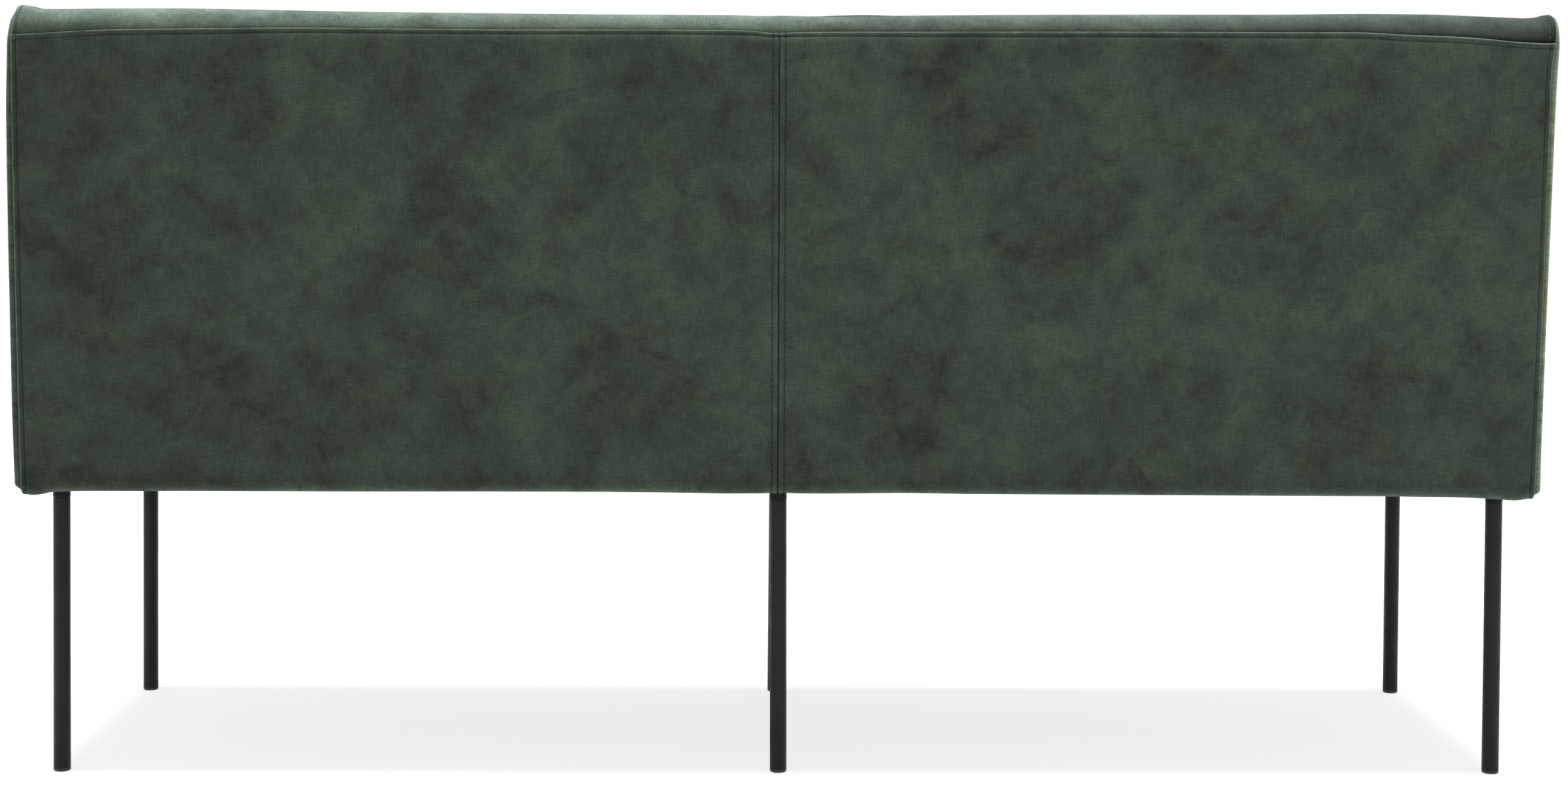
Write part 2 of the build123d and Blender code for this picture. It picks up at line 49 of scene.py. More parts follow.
# Body outline as (y, z) in millimetres, counter-clockwise seen from the right-hand end.
# Each run ends at the point given and bows out by the radius; zero is a straight run, negative bows inwards.
OUTLINE_START = (-290.0, 341.0)
OUTLINE_RUNS = [
    ("underside", (251.90, 341.0), 0.0),
    ("rear_foot", (261.85, 350.0), 10.0),
    ("rear_face", (299.90, 863.07), 9996.0),
    ("rear_roll", (259.95, 905.0), 40.0),
    ("top", (238.75, 905.0), 0.0),
    ("front_roll", (204.32, 876.26), 35.0),
    ("inside_back", (153.60, 487.26), 3869.0),
    ("crease", (144.73, 482.48), -6.0),
    ("seat_fall", (139.27, 485.48), 0.0),
    ("seat_rear", (125.56, 489.40), 32.0),
    ("seat_top", (-269.52, 490.57), 3907.0),
    ("seat_front", (-300.0, 458.61), 32.0),
    ("front_face", (-300.0, 351.0), 0.0),
    ("front_foot", (-290.0, 341.0), 10.0),
]
# Sizes in millimetres
HALF_WIDTH = 900.0
FRAME_X = 888.0
END_RADIUS = 9.0
TOP_END_RADIUS = {-1: 6.5, 1: 14.0}
SIDE_SEAM_X = 895.0
CENTRE_SEAM_X = 2.0
SEAM_GAP = 0.15
SEAM_HEIGHT = 880.0
WRAP_FRONT_Y = -276.0
WRAP_REAR_Y = 237.0
WRAP_X = 876.0
FOAM_BOTTOM = 433.2


def smooth_step(value):
    value = np.clip(value, 0.0, 1.0)
    return value * value * (3 - 2 * value)


def arc_points(start, end, radius):
    """Points from start to end, about a millimetre apart, with their outward normals."""
    a, b = np.array(start), np.array(end)
    chord = b - a
    length = np.linalg.norm(chord)
    along = chord / length
    right = np.array([along[1], -along[0]])
    if radius == 0:
        count = max(2, int(length) + 1)
        t = np.linspace(0, 1, count)[:, None]
        return a + t * chord, np.repeat(right[None], count, 0)
    size = abs(radius)
    sign = 1 if radius > 0 else -1
    depth = math.sqrt(size ** 2 - (length / 2) ** 2)
    centre = (a + b) / 2 - sign * right * depth
    half = math.asin(length / 2 / size)
    count = max(3, int(2 * half * size) + 1)
    angles = np.linspace(-half, half, count)[:, None]
    out = sign * right * np.cos(angles) + along * np.sin(angles)
    return centre + size * out, sign * out


def trace_outline():
    """The whole outline: points, smoothed normals, distances round it, and where each run starts."""
    points, normals, marks = [], [], {}
    start, count = OUTLINE_START, 0
    for name, end, radius in OUTLINE_RUNS:
        p, n = arc_points(start, end, radius)
        marks[name] = count
        points.append(p[:-1])
        normals.append(n[:-1])
        count += len(p) - 1
        start = end
    points, normals = np.vstack(points + [points[0][:1]]), np.vstack(normals + [normals[0][:1]])
    lengths = np.concatenate([[0], np.cumsum(np.linalg.norm(np.diff(points, axis=0), axis=1))])
    round_it = np.vstack([normals[-2], normals, normals[1]])
    normals = (round_it[:-2] + round_it[1:-1] + round_it[2:]) / 3
    normals /= np.linalg.norm(normals, axis=1)[:, None]
    return points, normals, lengths, {name: lengths[mark] for name, mark in marks.items()}


OUT_POINTS, OUT_NORMALS, OUT_LENGTHS, RUN_AT = trace_outline()
LOOP = OUT_LENGTHS[-1]


def outline_at(s):
    """Position and outward normal on the outline, in the (y, z) plane, at a distance round it."""
    s = np.mod(s, LOOP)
    y, z = (np.interp(s, OUT_LENGTHS, OUT_POINTS[:, axis]) for axis in (0, 1))
    ny, nz = (np.interp(s, OUT_LENGTHS, OUT_NORMALS[:, axis]) for axis in (0, 1))
    size = np.hypot(ny, nz)
    return y, z, ny / size, nz / size


def outline_where(run, axis, value):
    """Distance round the outline at which a run passes a value of y (0) or z (1)."""
    ends = [*RUN_AT.values(), LOOP]
    index = list(RUN_AT).index(run)
    inside = (OUT_LENGTHS >= ends[index] - 0.01) & (OUT_LENGTHS <= ends[index + 1] + 0.01)
    values, at = OUT_POINTS[inside, axis], OUT_LENGTHS[inside]
    order = np.argsort(values)
    return float(np.interp(value, values[order], at[order]))


S_REAR_WRAP = outline_where("underside", 0, WRAP_REAR_Y)
S_REAR_SEAM = outline_where("rear_roll", 1, SEAM_HEIGHT)
S_CREASE = RUN_AT["crease"] + 0.8
S_FRONT_WRAP = LOOP + outline_where("underside", 0, WRAP_FRONT_Y)


def rear_board_y(z):
    """Where the board behind the rear cover stands, at a height."""
    return 300.0 - 4 * (1 - (242.0 / 282.0) ** 2) - 38.0 / 524.0 * (865.0 - z) - 10.0


def inside_back_y(z):
    """Where the board inside the back stands, at a height."""
    return 205.0 - 75.0 / 564.0 * (870.0 - z)


def eased(x, line):
    """Smooth curve through a line's keys and values, level where it turns and past its ends."""
    keys, values = (np.array(part, float) for part in line)
    x = np.asarray(x, float)
    index = np.clip(np.searchsorted(keys, x) - 1, 0, len(keys) - 2)
    span = keys[index + 1] - keys[index]
    t = np.clip((x - keys[index]) / span, 0, 1)
    rates = np.diff(values) / np.diff(keys)
    before, after = rates[:-1], rates[1:]
    level = 2 * before * after / np.where(before + after == 0, 1, before + after)
    slopes = np.concatenate([[rates[0]], np.where(before * after > 0, level, 0.0), [rates[-1]]])
    h00, h10 = (1 + 2 * t) * (1 - t) ** 2, t * (1 - t) ** 2
    h01, h11 = t * t * (3 - 2 * t), t * t * (t - 1)
    return (h00 * values[index] + h10 * span * slopes[index]
            + h01 * values[index + 1] + h11 * span * slopes[index + 1])


# Height of the rear top seam along the bench: it isn't straight
SEAM_LINE = (
    [-897, -873, -845, -815, -780, -728, -656, -400, -147, -80, -16, 2, 16, 24, 42, 78, 135, 240, 350, 425,
     500, 557, 639, 710, 782, 854, 883, 895],
    [873.9, 874.9, 876.3, 878.8, 880.4, 881.6, 884.4, 884.6, 884.2, 884.5, 883.7, 883.2, 883.0, 884.2, 885.0,
     885.6, 885.6, 885.0, 883.9, 883.9, 884.0, 883.6, 881.8, 880.2, 878.8, 874.6, 872.2, 871.2])
# How far the cover stands above or below the straight top edge, and hangs at the foot, along the bench
TOP_RISE = (
    [-905, -895, -887, -876, -862, -847, -820, -790, -760, -690, -580, -437, -293, -150, -50, 10, 65, 207,
     350, 492, 634, 705, 776, 811, 850, 864, 875, 882, 893, 900],
    [4.2, 3.2, 1.2, 0.4, 1.0, 1.4, 2.4, 3.4, 4.2, 4.4, 2.7, 1.6, 0.3, -1.6, -3.3, -3.9, -2.8, -3.0,
     -2.6, -2.0, -0.3, 0.3, -0.3, -0.7, -1.4, -1.4, -0.2, 2.2, 3.0, 2.0])
FOOT_RISE = (
    [-900, -888, -872, -855, -824, -797, -760, -700, -520, -230, -100, 0, 130, 200, 350, 500, 700, 810,
     848, 864, 877, 886, 893, 900],
    [-4.2, -6.2, -7.8, -6.2, -4.6, -4.2, -4.3, -4.5, -4.3, -3.7, -2.3, -3.2, -2.1, -2.9, -3.0, -3.6, -3.7,
     -2.9, -3.4, -4.8, -8.0, -8.4, -6.6, -4.2])
# How far out the left-hand end seam lies, against height: most of all round the top roll
SEAM_REACH = ([341, 835, 868, 880, 895, 905], [-0.8, -0.8, 2.8, 4.6, 6.8, 7.2])
# How far each end cover stands out past the seam line, against height
BULGE_HEIGHTS = [341, 420, 560, 700, 790, 840, 872, 885, 895, 905]
END_BULGE = {
    "left": (BULGE_HEIGHTS, [2.8, 1.6, 1.2, 1.8, 2.6, 3.8, 5.0, 5.4, 6.4, 7.4]),
    "right": (BULGE_HEIGHTS, [3.6, 4.4, 4.0, 3.6, 3.0, 1.4, 0.6, 0.6, 0.6, 0.6]),
}


def along_cover(s, x):
    """Moves a distance round the outline with the wandering rear top seam."""
    below = smooth_step(1 - (S_REAR_SEAM - s) / 150.0)
    above = smooth_step(1 - (s - S_REAR_SEAM) / 55.0)
    return s + (eased(x, SEAM_LINE) - SEAM_HEIGHT) * np.where(s <= S_REAR_SEAM, below, above)


def end_radius(s, x):
    """Rounding of the end edges, which changes round the top roll."""
    z = outline_at(s)[1]
    at_top = np.where(np.asarray(x) < 0, TOP_END_RADIUS[-1], TOP_END_RADIUS[1])
    return END_RADIUS + (at_top - END_RADIUS) * smooth_step((z - 868.0) / 26.0)


def end_inset(s, x):
    """How far the cover falls back over the rounding of the end edges."""
    radius = end_radius(s, x)
    past = np.clip(np.abs(x) - (HALF_WIDTH - radius), 0, radius * 0.9999)
    return radius - np.sqrt(radius ** 2 - past ** 2)


def hang(points):
    """Lifts the top edge and drops the foot by the amounts that vary along the bench."""
    x, y, z = np.moveaxis(points, -1, 0)
    up = smooth_step((z - 862.0) / 40.0) * eased(x, TOP_RISE)
    down = smooth_step((378.0 - z) / 36.0) * eased(x, FOOT_RISE)
    past_rear, past_front = smooth_step((y - WRAP_REAR_Y) / 14.0), smooth_step((WRAP_FRONT_Y - y) / 14.0)
    past_end = smooth_step((np.abs(x) - 879.0) / 9.0)
    past_wrap = np.maximum(np.maximum(past_rear, 0.7 * past_front), past_end)
    return np.stack([x, y, z + up + down * past_wrap], -1)


def centre_drift(s, x, z):
    """The middle seam runs a little to the right of the middle up the rear, and back to it over the top."""
    rear = 3.6 + 1.9 * (z - 347.0) / 529.0
    near_seam = np.exp(-((x - CENTRE_SEAM_X) / 110.0) ** 2)
    return rear * smooth_step((RUN_AT["front_roll"] + 40.0 - s) / 70.0) * near_seam


def seam_reach(x, z):
    return -eased(z, SEAM_REACH) * smooth_step((-x - 870.0) / 25.0)


def body_point(s, x, lift):
    """A point of the cover: round the outline by s, along the bench by x, and proud of the body by lift."""
    s = along_cover(s, x)
    y, z, ny, nz = outline_at(s)
    proud = lift - end_inset(s, x)
    return np.stack([x + centre_drift(s, x, z) + seam_reach(x, z), y + ny * proud, z + nz * proud], -1)


def cubic_rows(values, at):
    """Smooth interpolation down the first axis at fractional rows."""
    top = values.shape[0] - 1
    at = np.clip(at, 0, top)
    i = np.clip(np.floor(at).astype(int), 0, top - 1)
    t = (at - i)[:, None]
    p0, p1 = values[np.clip(i - 1, 0, top)], values[i]
    p2, p3 = values[i + 1], values[np.clip(i + 2, 0, top)]
    return 0.5 * (2 * p1 + (p2 - p0) * t + (2 * p0 - 5 * p1 + 4 * p2 - p3) * t ** 2
                  + (3 * p1 - p0 - 3 * p2 + p3) * t ** 3)


# How the cover lies beside each kind of seam: distance from the edge, and how far it stands proud
BESIDE = {
    "fold": ([0, 0.2, 0.5, 1.0, 1.8, 3.2, 4.8, 5.7, 6.1, 6.4, 6.7, 7.1, 7.9, 11, 16, 24],
             [-1.8, 0.2, 1.4, 2.1, 2.3, 2.2, 1.9, 1.4, 0.7, 0.0, 0.6, 1.1, 1.4, 1.65, 1.85, 2.0]),
    "butt": ([0, 0.25, 0.5, 1.0, 2.0, 4.0, 5.8, 6.4, 6.7, 7.0, 7.3, 7.7, 8.6, 12, 17, 24],
             [-2.0, -1.3, -0.2, 0.9, 1.5, 1.5, 1.2, 0.8, 0.3, -0.1, 0.3, 0.8, 1.15, 1.5, 1.8, 2.0]),
    "under": ([0, 0.6, 1.5, 4.0, 8, 13, 22, 36], [-1.9, -1.75, -1.4, -0.8, 0.0, 0.8, 1.6, 2.0]),
    "crease": ([0, 1.0, 2.5, 5, 9, 16, 26, 40], [-1.2, -0.9, -0.4, 0.2, 0.8, 1.4, 1.8, 2.0]),
    "wrap": ([0, 8, 14, 19, 25, 29, 33, 38, 50, 70], [1.0, 1.0, 1.2, 1.8, 1.9, 1.2, 0.8, 1.1, 1.8, 2.0]),
}
FULL = 2.0
# Painted light beside each kind of seam, added to the pile's lightness: a painted highlight on a folded edge and
# on the hem's rounding, where light from above catches them, and painted shade in seam gaps, stitch grooves,
# creases, beside tucked and end edges and under a lapping edge
PAINTED_LIGHT_BESIDE = {
    "fold": ([0, 0.2, 0.5, 1.0, 1.8, 3.2, 5.5, 5.9, 6.4, 6.9, 7.3],
             [-1.6, -0.6, 2.3, 2.2, 0.7, -0.2, -0.2, -0.7, -1.5, -0.7, 0.0]),
    "pale_fold": ([0, 0.2, 0.5, 1.0, 1.8, 5.5, 5.9, 6.4, 6.9, 7.3],
                  [-1.6, -0.6, 1.7, 1.5, -0.4, -0.4, -0.8, -1.6, -0.8, 0.0]),
    "tucked": ([0, 1.0, 3.0, 8.0, 16.0], [-1.0, -0.5, -0.4, -0.35, 0.0]),
    "butt": ([0, 0.25, 0.5, 1.0, 1.5, 2.2, 5.8, 6.3, 7.0, 7.7, 8.2],
             [-1.9, -1.8, -1.4, 0.0, 0.4, 0.1, 0.0, -0.8, -1.9, -0.8, 0.0]),
    "under": ([0, 0.6, 1.5, 4.0, 8], [-1.5, -1.3, -0.8, -0.3, 0.0]),
    "crease": ([0, 1.0, 5, 16], [-1.0, -0.8, -0.4, 0.0]),
    "wrap": ([0, 14, 19, 25, 29, 33, 38, 50], [0.0, 0.0, 0.3, 0.4, 0.1, -0.3, -0.25, 0.0]),
    "end_edge": ([0, 0.6, 1.5, 4.0], [-1.2, -0.9, -0.3, 0.0]),
}
BESIDE["pale_fold"] = BESIDE["tucked"] = BESIDE["top_fold"] = BESIDE["fold"]
PAINTED_LIGHT_BESIDE["top_fold"] = PAINTED_LIGHT_BESIDE["fold"]
# Towards the right-hand end two of these painted marks fade, the painted shade under a lapping edge and the
# painted highlight of the top fold: by what share, from where, and over what length
PAINTED_LIGHT_FADES = {"under": (0.85, 620.0, 160.0), "top_fold": (0.75, 770.0, 70.0)}
GRID_STEP = 8.0


def grid_lines(low, high, low_kind, high_kind):
    """Lines across a panel: close beside its seams and evenly spaced between."""
    near_low = low + np.array(BESIDE[low_kind][0])
    near_high = high - np.array(BESIDE[high_kind][0])[::-1]
    count = max(2, int(round((near_high[0] - near_low[-1]) / GRID_STEP)))
    middle = np.linspace(near_low[-1], near_high[0], count + 1)[1:-1]
    return np.concatenate([near_low, middle, near_high])


def grid_quads(rows, cols):
    """Four-sided faces over a grid of points, numbered row by row."""
    index = np.arange(rows * cols).reshape(rows, cols)
    return np.stack([index[:-1, :-1], index[:-1, 1:], index[1:, 1:], index[1:, :-1]], -1).reshape(-1, 4)


def band(low, high):
    """Four-sided faces between two rings of points."""
    return np.stack([low, np.roll(low, -1), np.roll(high, -1), high], -1).tolist()


def select_only(piece):
    bpy.ops.object.select_all(action="DESELECT")
    piece.select_set(True)
    bpy.context.view_layer.objects.active = piece


def mode(name):
    bpy.ops.object.mode_set(mode=name)


def modify(piece, name, kind, **settings):
    """Gives the active piece a modifier and applies it."""
    made = piece.modifiers.new(name, kind)
    for key, value in settings.items():
        setattr(made, key, value)
    bpy.ops.object.modifier_apply(modifier=name)


def new_piece(name, points, faces):
    """A piece from points in millimetres and a list of faces."""
    mesh = bpy.data.meshes.new(name)
    mesh.from_pydata((points.reshape(-1, 3) * MM).tolist(), [], faces)
    mesh.shade_smooth()
    piece = bpy.data.objects.new(name, mesh)
    scene.collection.objects.link(piece)
    return piece


def turn_outwards(piece):
    """Every face points out of the piece."""
    select_only(piece)
    mode("EDIT")
    bpy.ops.mesh.select_all(action="SELECT")
    bpy.ops.mesh.normals_make_consistent(inside=False)
    mode("OBJECT")


def dress(piece, uv, pile_and_painted_light):
    """Gives a cover its cloth coordinates (in metres) and, point by point, the lightness of its pile together
    with painted highlights and painted shade.
    """
    mesh = piece.data
    corner = np.zeros(len(mesh.loops), int)
    mesh.loops.foreach_get("vertex_index", corner)
    layer = mesh.uv_layers.new(name="cloth")
    layer.data.foreach_set("uv", uv[corner].ravel().astype(np.float32))
    layer = mesh.attributes.new("pile_and_painted_light", "FLOAT", "POINT")
    layer.data.foreach_set("value", pile_and_painted_light.astype(np.float32))
    turn_outwards(piece)


FABRIC = {
    "quality": 5, "mass": 0.35, "tension_stiffness": 18, "compression_stiffness": 18, "shear_stiffness": 6,
    "bending_stiffness": 0.6, "air_damping": 4, "use_pressure": True, "vertex_group_mass": "held",
}
SETTLING_FRAMES = 20


def settle(rest, faces, held, slack, pressure):
    """Lets a fabric panel, held at some points, fill out over its padding, and gives each point's move."""
    panel = new_piece("settling", rest, faces)
    panel.vertex_groups.new(name="held").add(np.flatnonzero(held).tolist(), 1.0, "REPLACE")
    cloth = panel.modifiers.new("settle", "CLOTH")
    for key, value in FABRIC.items():
        setattr(cloth.settings, key, value)
    cloth.settings.uniform_pressure_force = pressure
    cloth.settings.shrink_min = -slack
    cloth.settings.effector_weights.gravity = 0
    cloth.collision_settings.use_self_collision = cloth.collision_settings.use_collision = False
    cloth.point_cache.frame_start, cloth.point_cache.frame_end = 1, SETTLING_FRAMES
    for number in range(1, SETTLING_FRAMES + 1):
        scene.frame_set(number)
    select_only(panel)
    bpy.ops.object.modifier_apply(modifier="settle")
    settled = np.zeros(rest.size)
    panel.data.vertices.foreach_get("co", settled)
    bpy.data.objects.remove(panel)
    scene.frame_set(1)
    return settled.reshape(rest.shape) / MM - rest


def unevenness(points, seed, size, amount):
    """Gentle unevenness of padding under a cover."""
    flat = points.reshape(-1, 3) / size
    moved = [noise.noise(Vector((p[0] + seed, p[1] + 2.7 * seed, p[2] - seed))) for p in flat]
    return amount * np.array(moved).reshape(points.shape[:-1])


def closed_panel(name, outer, inner, uv, pile_and_painted_light):
    """A padded panel as one closed piece: the cover outside, its backing inside, and the turned-in edges."""
    rows, cols = outer.shape[:2]
    count = rows * cols
    index = np.arange(count).reshape(rows, cols)
    quads = grid_quads(rows, cols)
    rim = np.concatenate([index[0, :-1], index[:-1, -1], index[-1, :0:-1], index[:0:-1, 0]])
    faces = np.vstack([quads, quads[:, ::-1] + count, band(rim + count, rim)])
    panel = new_piece(name, np.concatenate([outer, inner]), faces.tolist())
    dress(panel, np.tile(uv.reshape(-1, 2) * MM, (2, 1)), np.tile(pile_and_painted_light.ravel(), 2))
    return panel


# The top roll's lightness along the bench, against metres from the middle, darkest at the left-hand end: the
# pile's tone with painted light from above on it
TOP_PILE_AND_PAINTED_LIGHT = ([-0.9, -0.8, -0.7, -0.6, -0.42, -0.08, -0.03, 0.05, 0.15, 0.3, 0.45, 0.9],
                [-0.6, -0.2, 0.1, -0.05, 0.65, 0.55, 1.45, 1.5, 1.2, 1.2, 1.65, 1.9])


def pile_and_painted_light_over(points, run):
    """How light the pile looks over the bench: the pile's tone, with painted light from above on the top roll and
    painted sheen along the left-hand end's rear edge.
    """
    x, y, z = points[..., 0] * MM, points[..., 1], points[..., 2] * MM
    # Back panels: the top roll is painted lighter, as painted light from above, over a tone that changes along
    # the bench; the inside back below it is evenly toned
    if run == "back":
        on_top = eased(x, TOP_PILE_AND_PAINTED_LIGHT) - 0.55 * smooth_step((0.885 - z) / 0.02)
        inside = 0.42 - 0.12 * np.sin(2.3 * x + 0.9)
        return on_top + (inside - on_top) * smooth_step((0.86 - z) / 0.05 * (y < 270))
    # Left-hand end: lighter all over, and much lighter towards its rear edge as painted sheen
    if run == "left_end":
        behind = y - rear_board_y(points[..., 2])
        return 1.2 + 2.8 * smooth_step((behind + 21) / 18) * smooth_step((z - 0.335) / 0.02)
    if run == "right_end":
        return np.full(x.shape, 0.3)
    # Rear and seat panels: lighter towards the left-hand end with a slow wave, and darker towards the top and the
    # foot of the rear
    return np.clip(0.5 - 0.34 * x + 0.10 * np.sin(2.1 * x + 0.6) - 0.55 * np.abs(z - 0.68), 0, 1)


PANELS = {}


class Panel:
    """A main cover panel: a run of the outline by a length of the bench, with what lies beside each edge."""

    def __init__(self, name, s_range, x_range, kinds, seed, pressure, slack, cap):
        self.name, self.kinds, self.seed = name, kinds, seed
        self.s_low, self.s_high = s_range
        self.x_low, self.x_high = x_range
        rows = max(8, int((self.s_high - self.s_low) / 14))
        cols = max(8, int((self.x_high - self.x_low) / 15))
        s, x = np.meshgrid(np.linspace(*s_range, rows), np.linspace(*x_range, cols), indexing="ij")
        rest = body_point(s, x, 0 * s)
        ny, nz = outline_at(along_cover(s, x))[2:]
        moved = np.zeros(rest.shape)
        held = np.ones(s.shape, bool)
        held[1:-1, 1:-1] = False
        rough = unevenness(rest, seed, 90.0, 1.2) * ~held
        uneven = rest + np.stack([0 * s, ny * rough, nz * rough], -1)
        moved = settle(uneven, grid_quads(rows, cols).tolist(), held, slack, pressure) + (uneven - rest)
        self.swell = np.clip(moved[..., 1] * ny + moved[..., 2] * nz, -1.0, cap)

    def row_and_column(self, s, x):
        """Where s and x fall on the settled grid."""
        rows, cols = self.swell.shape
        return ((s - self.s_low) / (self.s_high - self.s_low) * (rows - 1),
                (x - self.x_low) / (self.x_high - self.x_low) * (cols - 1))

    def edges(self, s, x):
        """The four edges: what lies beside each, how far away it is, and how much it shows."""
        low_s, high_s, low_x, high_x = self.kinds
        shows = np.ones(s.shape)
        flush = smooth_step((s - RUN_AT["front_roll"]) / 40.0) if low_s == "under" else shows
        return ((low_s, s - self.s_low, shows), (high_s, self.s_high - s, shows),
                (low_x, x - self.x_low, flush if low_x == "butt" else shows),
                (high_x, self.x_high - x, flush if high_x == "butt" else shows))

    def cover_at(self, s, x, settled):
        """Points of the finished cover, from how far it has settled out there."""
        lift = np.full(s.shape, FULL)
        for kind, distance, shows in self.edges(s, x):
            lift = lift + (eased(distance, BESIDE[kind]) - FULL) * shows
        return hang(body_point(s, x, np.maximum(lift, -2.1) - FULL * 0.5 + settled))

    def surface(self, s, x):
        """Points of the finished cover at matching lists of s and x."""
        rows, cols = self.row_and_column(s, x)
        along = cubic_rows(self.swell, rows)
        settled = [cubic_rows(line[:, None], cols[k:k + 1])[0, 0] for k, line in enumerate(along)]
        return self.cover_at(s, x, np.array(settled))

    def build(self, inner_at):
        low_s, high_s, low_x, high_x = self.kinds
        s_lines = grid_lines(self.s_low, self.s_high, low_s, high_s)
        x_lines = grid_lines(self.x_low, self.x_high, low_x, high_x)
        rows, cols = self.row_and_column(s_lines, x_lines)
        s, x = np.meshgrid(s_lines, x_lines, indexing="ij")
        outer = self.cover_at(s, x, cubic_rows(cubic_rows(self.swell, rows).T, cols).T)
        # Lightness of the pile: its tone over the bench, then painted highlights and painted shade beside each
        # seam
        pile_and_painted_light = pile_and_painted_light_over(outer, self.name.split("_")[0])
        for kind, distance, closed in self.edges(s, x):
            if kind in PAINTED_LIGHT_FADES:
                share, start, length = PAINTED_LIGHT_FADES[kind]
                closed = 1.0 - share * smooth_step((x - start) / length)
            pile_and_painted_light = pile_and_painted_light + np.interp(distance, *PAINTED_LIGHT_BESIDE[kind]) * closed
        uv = np.stack([x, s], -1) + 137.0 * self.seed
        self.piece = closed_panel(self.name, outer, inner_at(s, x), uv, pile_and_painted_light)
        PANELS[self.name] = self
        return self.piece


def backing(*corners):
    """The inside of a panel: straight faces between corners, each as distance round the outline, y and z."""
    at, ys, zs = np.array(corners).T

    def inner_at(s, x):
        return np.stack([x, np.interp(s, at, ys), np.interp(s, at, zs)], -1)

    return inner_at


WRAP_TOP = 343.0
BACK_TOP = 884.0
SEAT_FRONT_Y = -288.0
BEHIND_SEAM = (S_REAR_SEAM, rear_board_y(SEAM_HEIGHT), SEAM_HEIGHT)
IN_CREASE = (S_CREASE, inside_back_y(FOAM_BOTTOM), FOAM_BOTTOM)
REAR_BACKING = backing(
    (S_REAR_WRAP, WRAP_REAR_Y, WRAP_TOP),
    (RUN_AT["rear_foot"] + 4, rear_board_y(345.0), 345.0),
    BEHIND_SEAM,
)
BACK_BACKING = backing(
    BEHIND_SEAM,
    (S_REAR_SEAM + 4, rear_board_y(BACK_TOP), BACK_TOP),
    (RUN_AT["front_roll"] + 20, inside_back_y(BACK_TOP) + 50, BACK_TOP),
    (RUN_AT["crease"] - 40, inside_back_y(FOAM_BOTTOM) + 50, FOAM_BOTTOM),
    IN_CREASE,
)
SEAT_BACKING = backing(
    IN_CREASE,
    (RUN_AT["seat_front"] + 22, SEAT_FRONT_Y, FOAM_BOTTOM),
    (RUN_AT["front_foot"] + 4, SEAT_FRONT_Y, WRAP_TOP),
    (S_FRONT_WRAP, WRAP_FRONT_Y, WRAP_TOP),
)


def put(tree, node, sockets):
    """Gives each socket a value, or links it to the output of another node."""
    for key, value in sockets.items():
        if isinstance(value, bpy.types.NodeSocket):
            tree.links.new(value, node.inputs[key])
        else:
            node.inputs[key].default_value = value


def add_node(tree, kind, sockets={}, **attributes):
    made = tree.nodes.new("ShaderNode" + kind)
    for key, value in attributes.items():
        setattr(made, key, value)
    put(tree, made, sockets)
    return made


def colour(hex_code):
    """A colour by its usual screen code, as linear light."""
    parts = [int(hex_code[i:i + 2], 16) / 255 for i in (0, 2, 4)]
    return [c / 12.92 if c <= 0.04045 else ((c + 0.055) / 1.055) ** 2.4 for c in parts] + [1.0]


class Finish:
    """A material under construction, placed on the piece itself or on the cloth coordinates of a cover."""

    def __init__(self, name, on_cloth=False):
        self.material = bpy.data.materials.new(name)
        self.material.use_nodes = True
        self.tree = self.material.node_tree
        self.shader = self.tree.nodes["Principled BSDF"]
        if on_cloth:
            self.place = self.node("UVMap", uv_map="cloth").outputs["UV"]
        else:
            self.place = self.node("TexCoord").outputs["Object"]

    def node(self, kind, sockets={}, **attributes):
        return add_node(self.tree, kind, sockets, **attributes)

    def texture(self, scale, detail=2.0, rough=0.5, stretch=None, distortion=0.0):
        place = self.place
        if stretch:
            place = self.node("Mapping", {"Vector": place, "Scale": stretch}).outputs["Vector"]
        return self.node("TexNoise", {"Vector": place, "Scale": scale, "Detail": detail, "Roughness": rough,
                                      "Distortion": distortion}).outputs["Fac"]

    def ranged(self, value, low, high, to_low=0.0, to_high=1.0):
        return self.node("MapRange", {"Value": value, "From Min": low, "From Max": high, "To Min": to_low,
                                      "To Max": to_high}).outputs["Result"]

    def mix(self, factor, a, b, blend="MIX"):
        return self.node("Mix", {0: factor, 6: a, 7: b}, data_type="RGBA", blend_type=blend).outputs[2]

    def tones(self, factor, first, second):
        return self.mix(factor, colour(first), colour(second))

    def maths(self, operation, a, b):
        return self.node("Math", {0: a, 1: b}, operation=operation).outputs[0]

    def sum_of(self, *shares):
        """Values added up, each by its share."""
        parts = [self.maths("MULTIPLY", value, share) for value, share in shares]
        total = parts[0]
        for part in parts[1:]:
            total = self.maths("ADD", total, part)
        return total

    def paint(self, base, roughness, relief, strength, depth, constants={}):
        """Joins up the shader and gives back the material."""
        bump = self.node("Bump", {"Height": relief, "Strength": strength, "Distance": depth})
        sockets = {"Base Color": base, "Roughness": roughness, "Normal": bump.outputs["Normal"], **constants}
        put(self.tree, self.shader, sockets)
        return self.material


# Cool tint of the painted sheen, multiplied into the base colour at a glance
PAINTED_SHEEN_TINT = (0.97, 1.0, 1.14, 1.0)


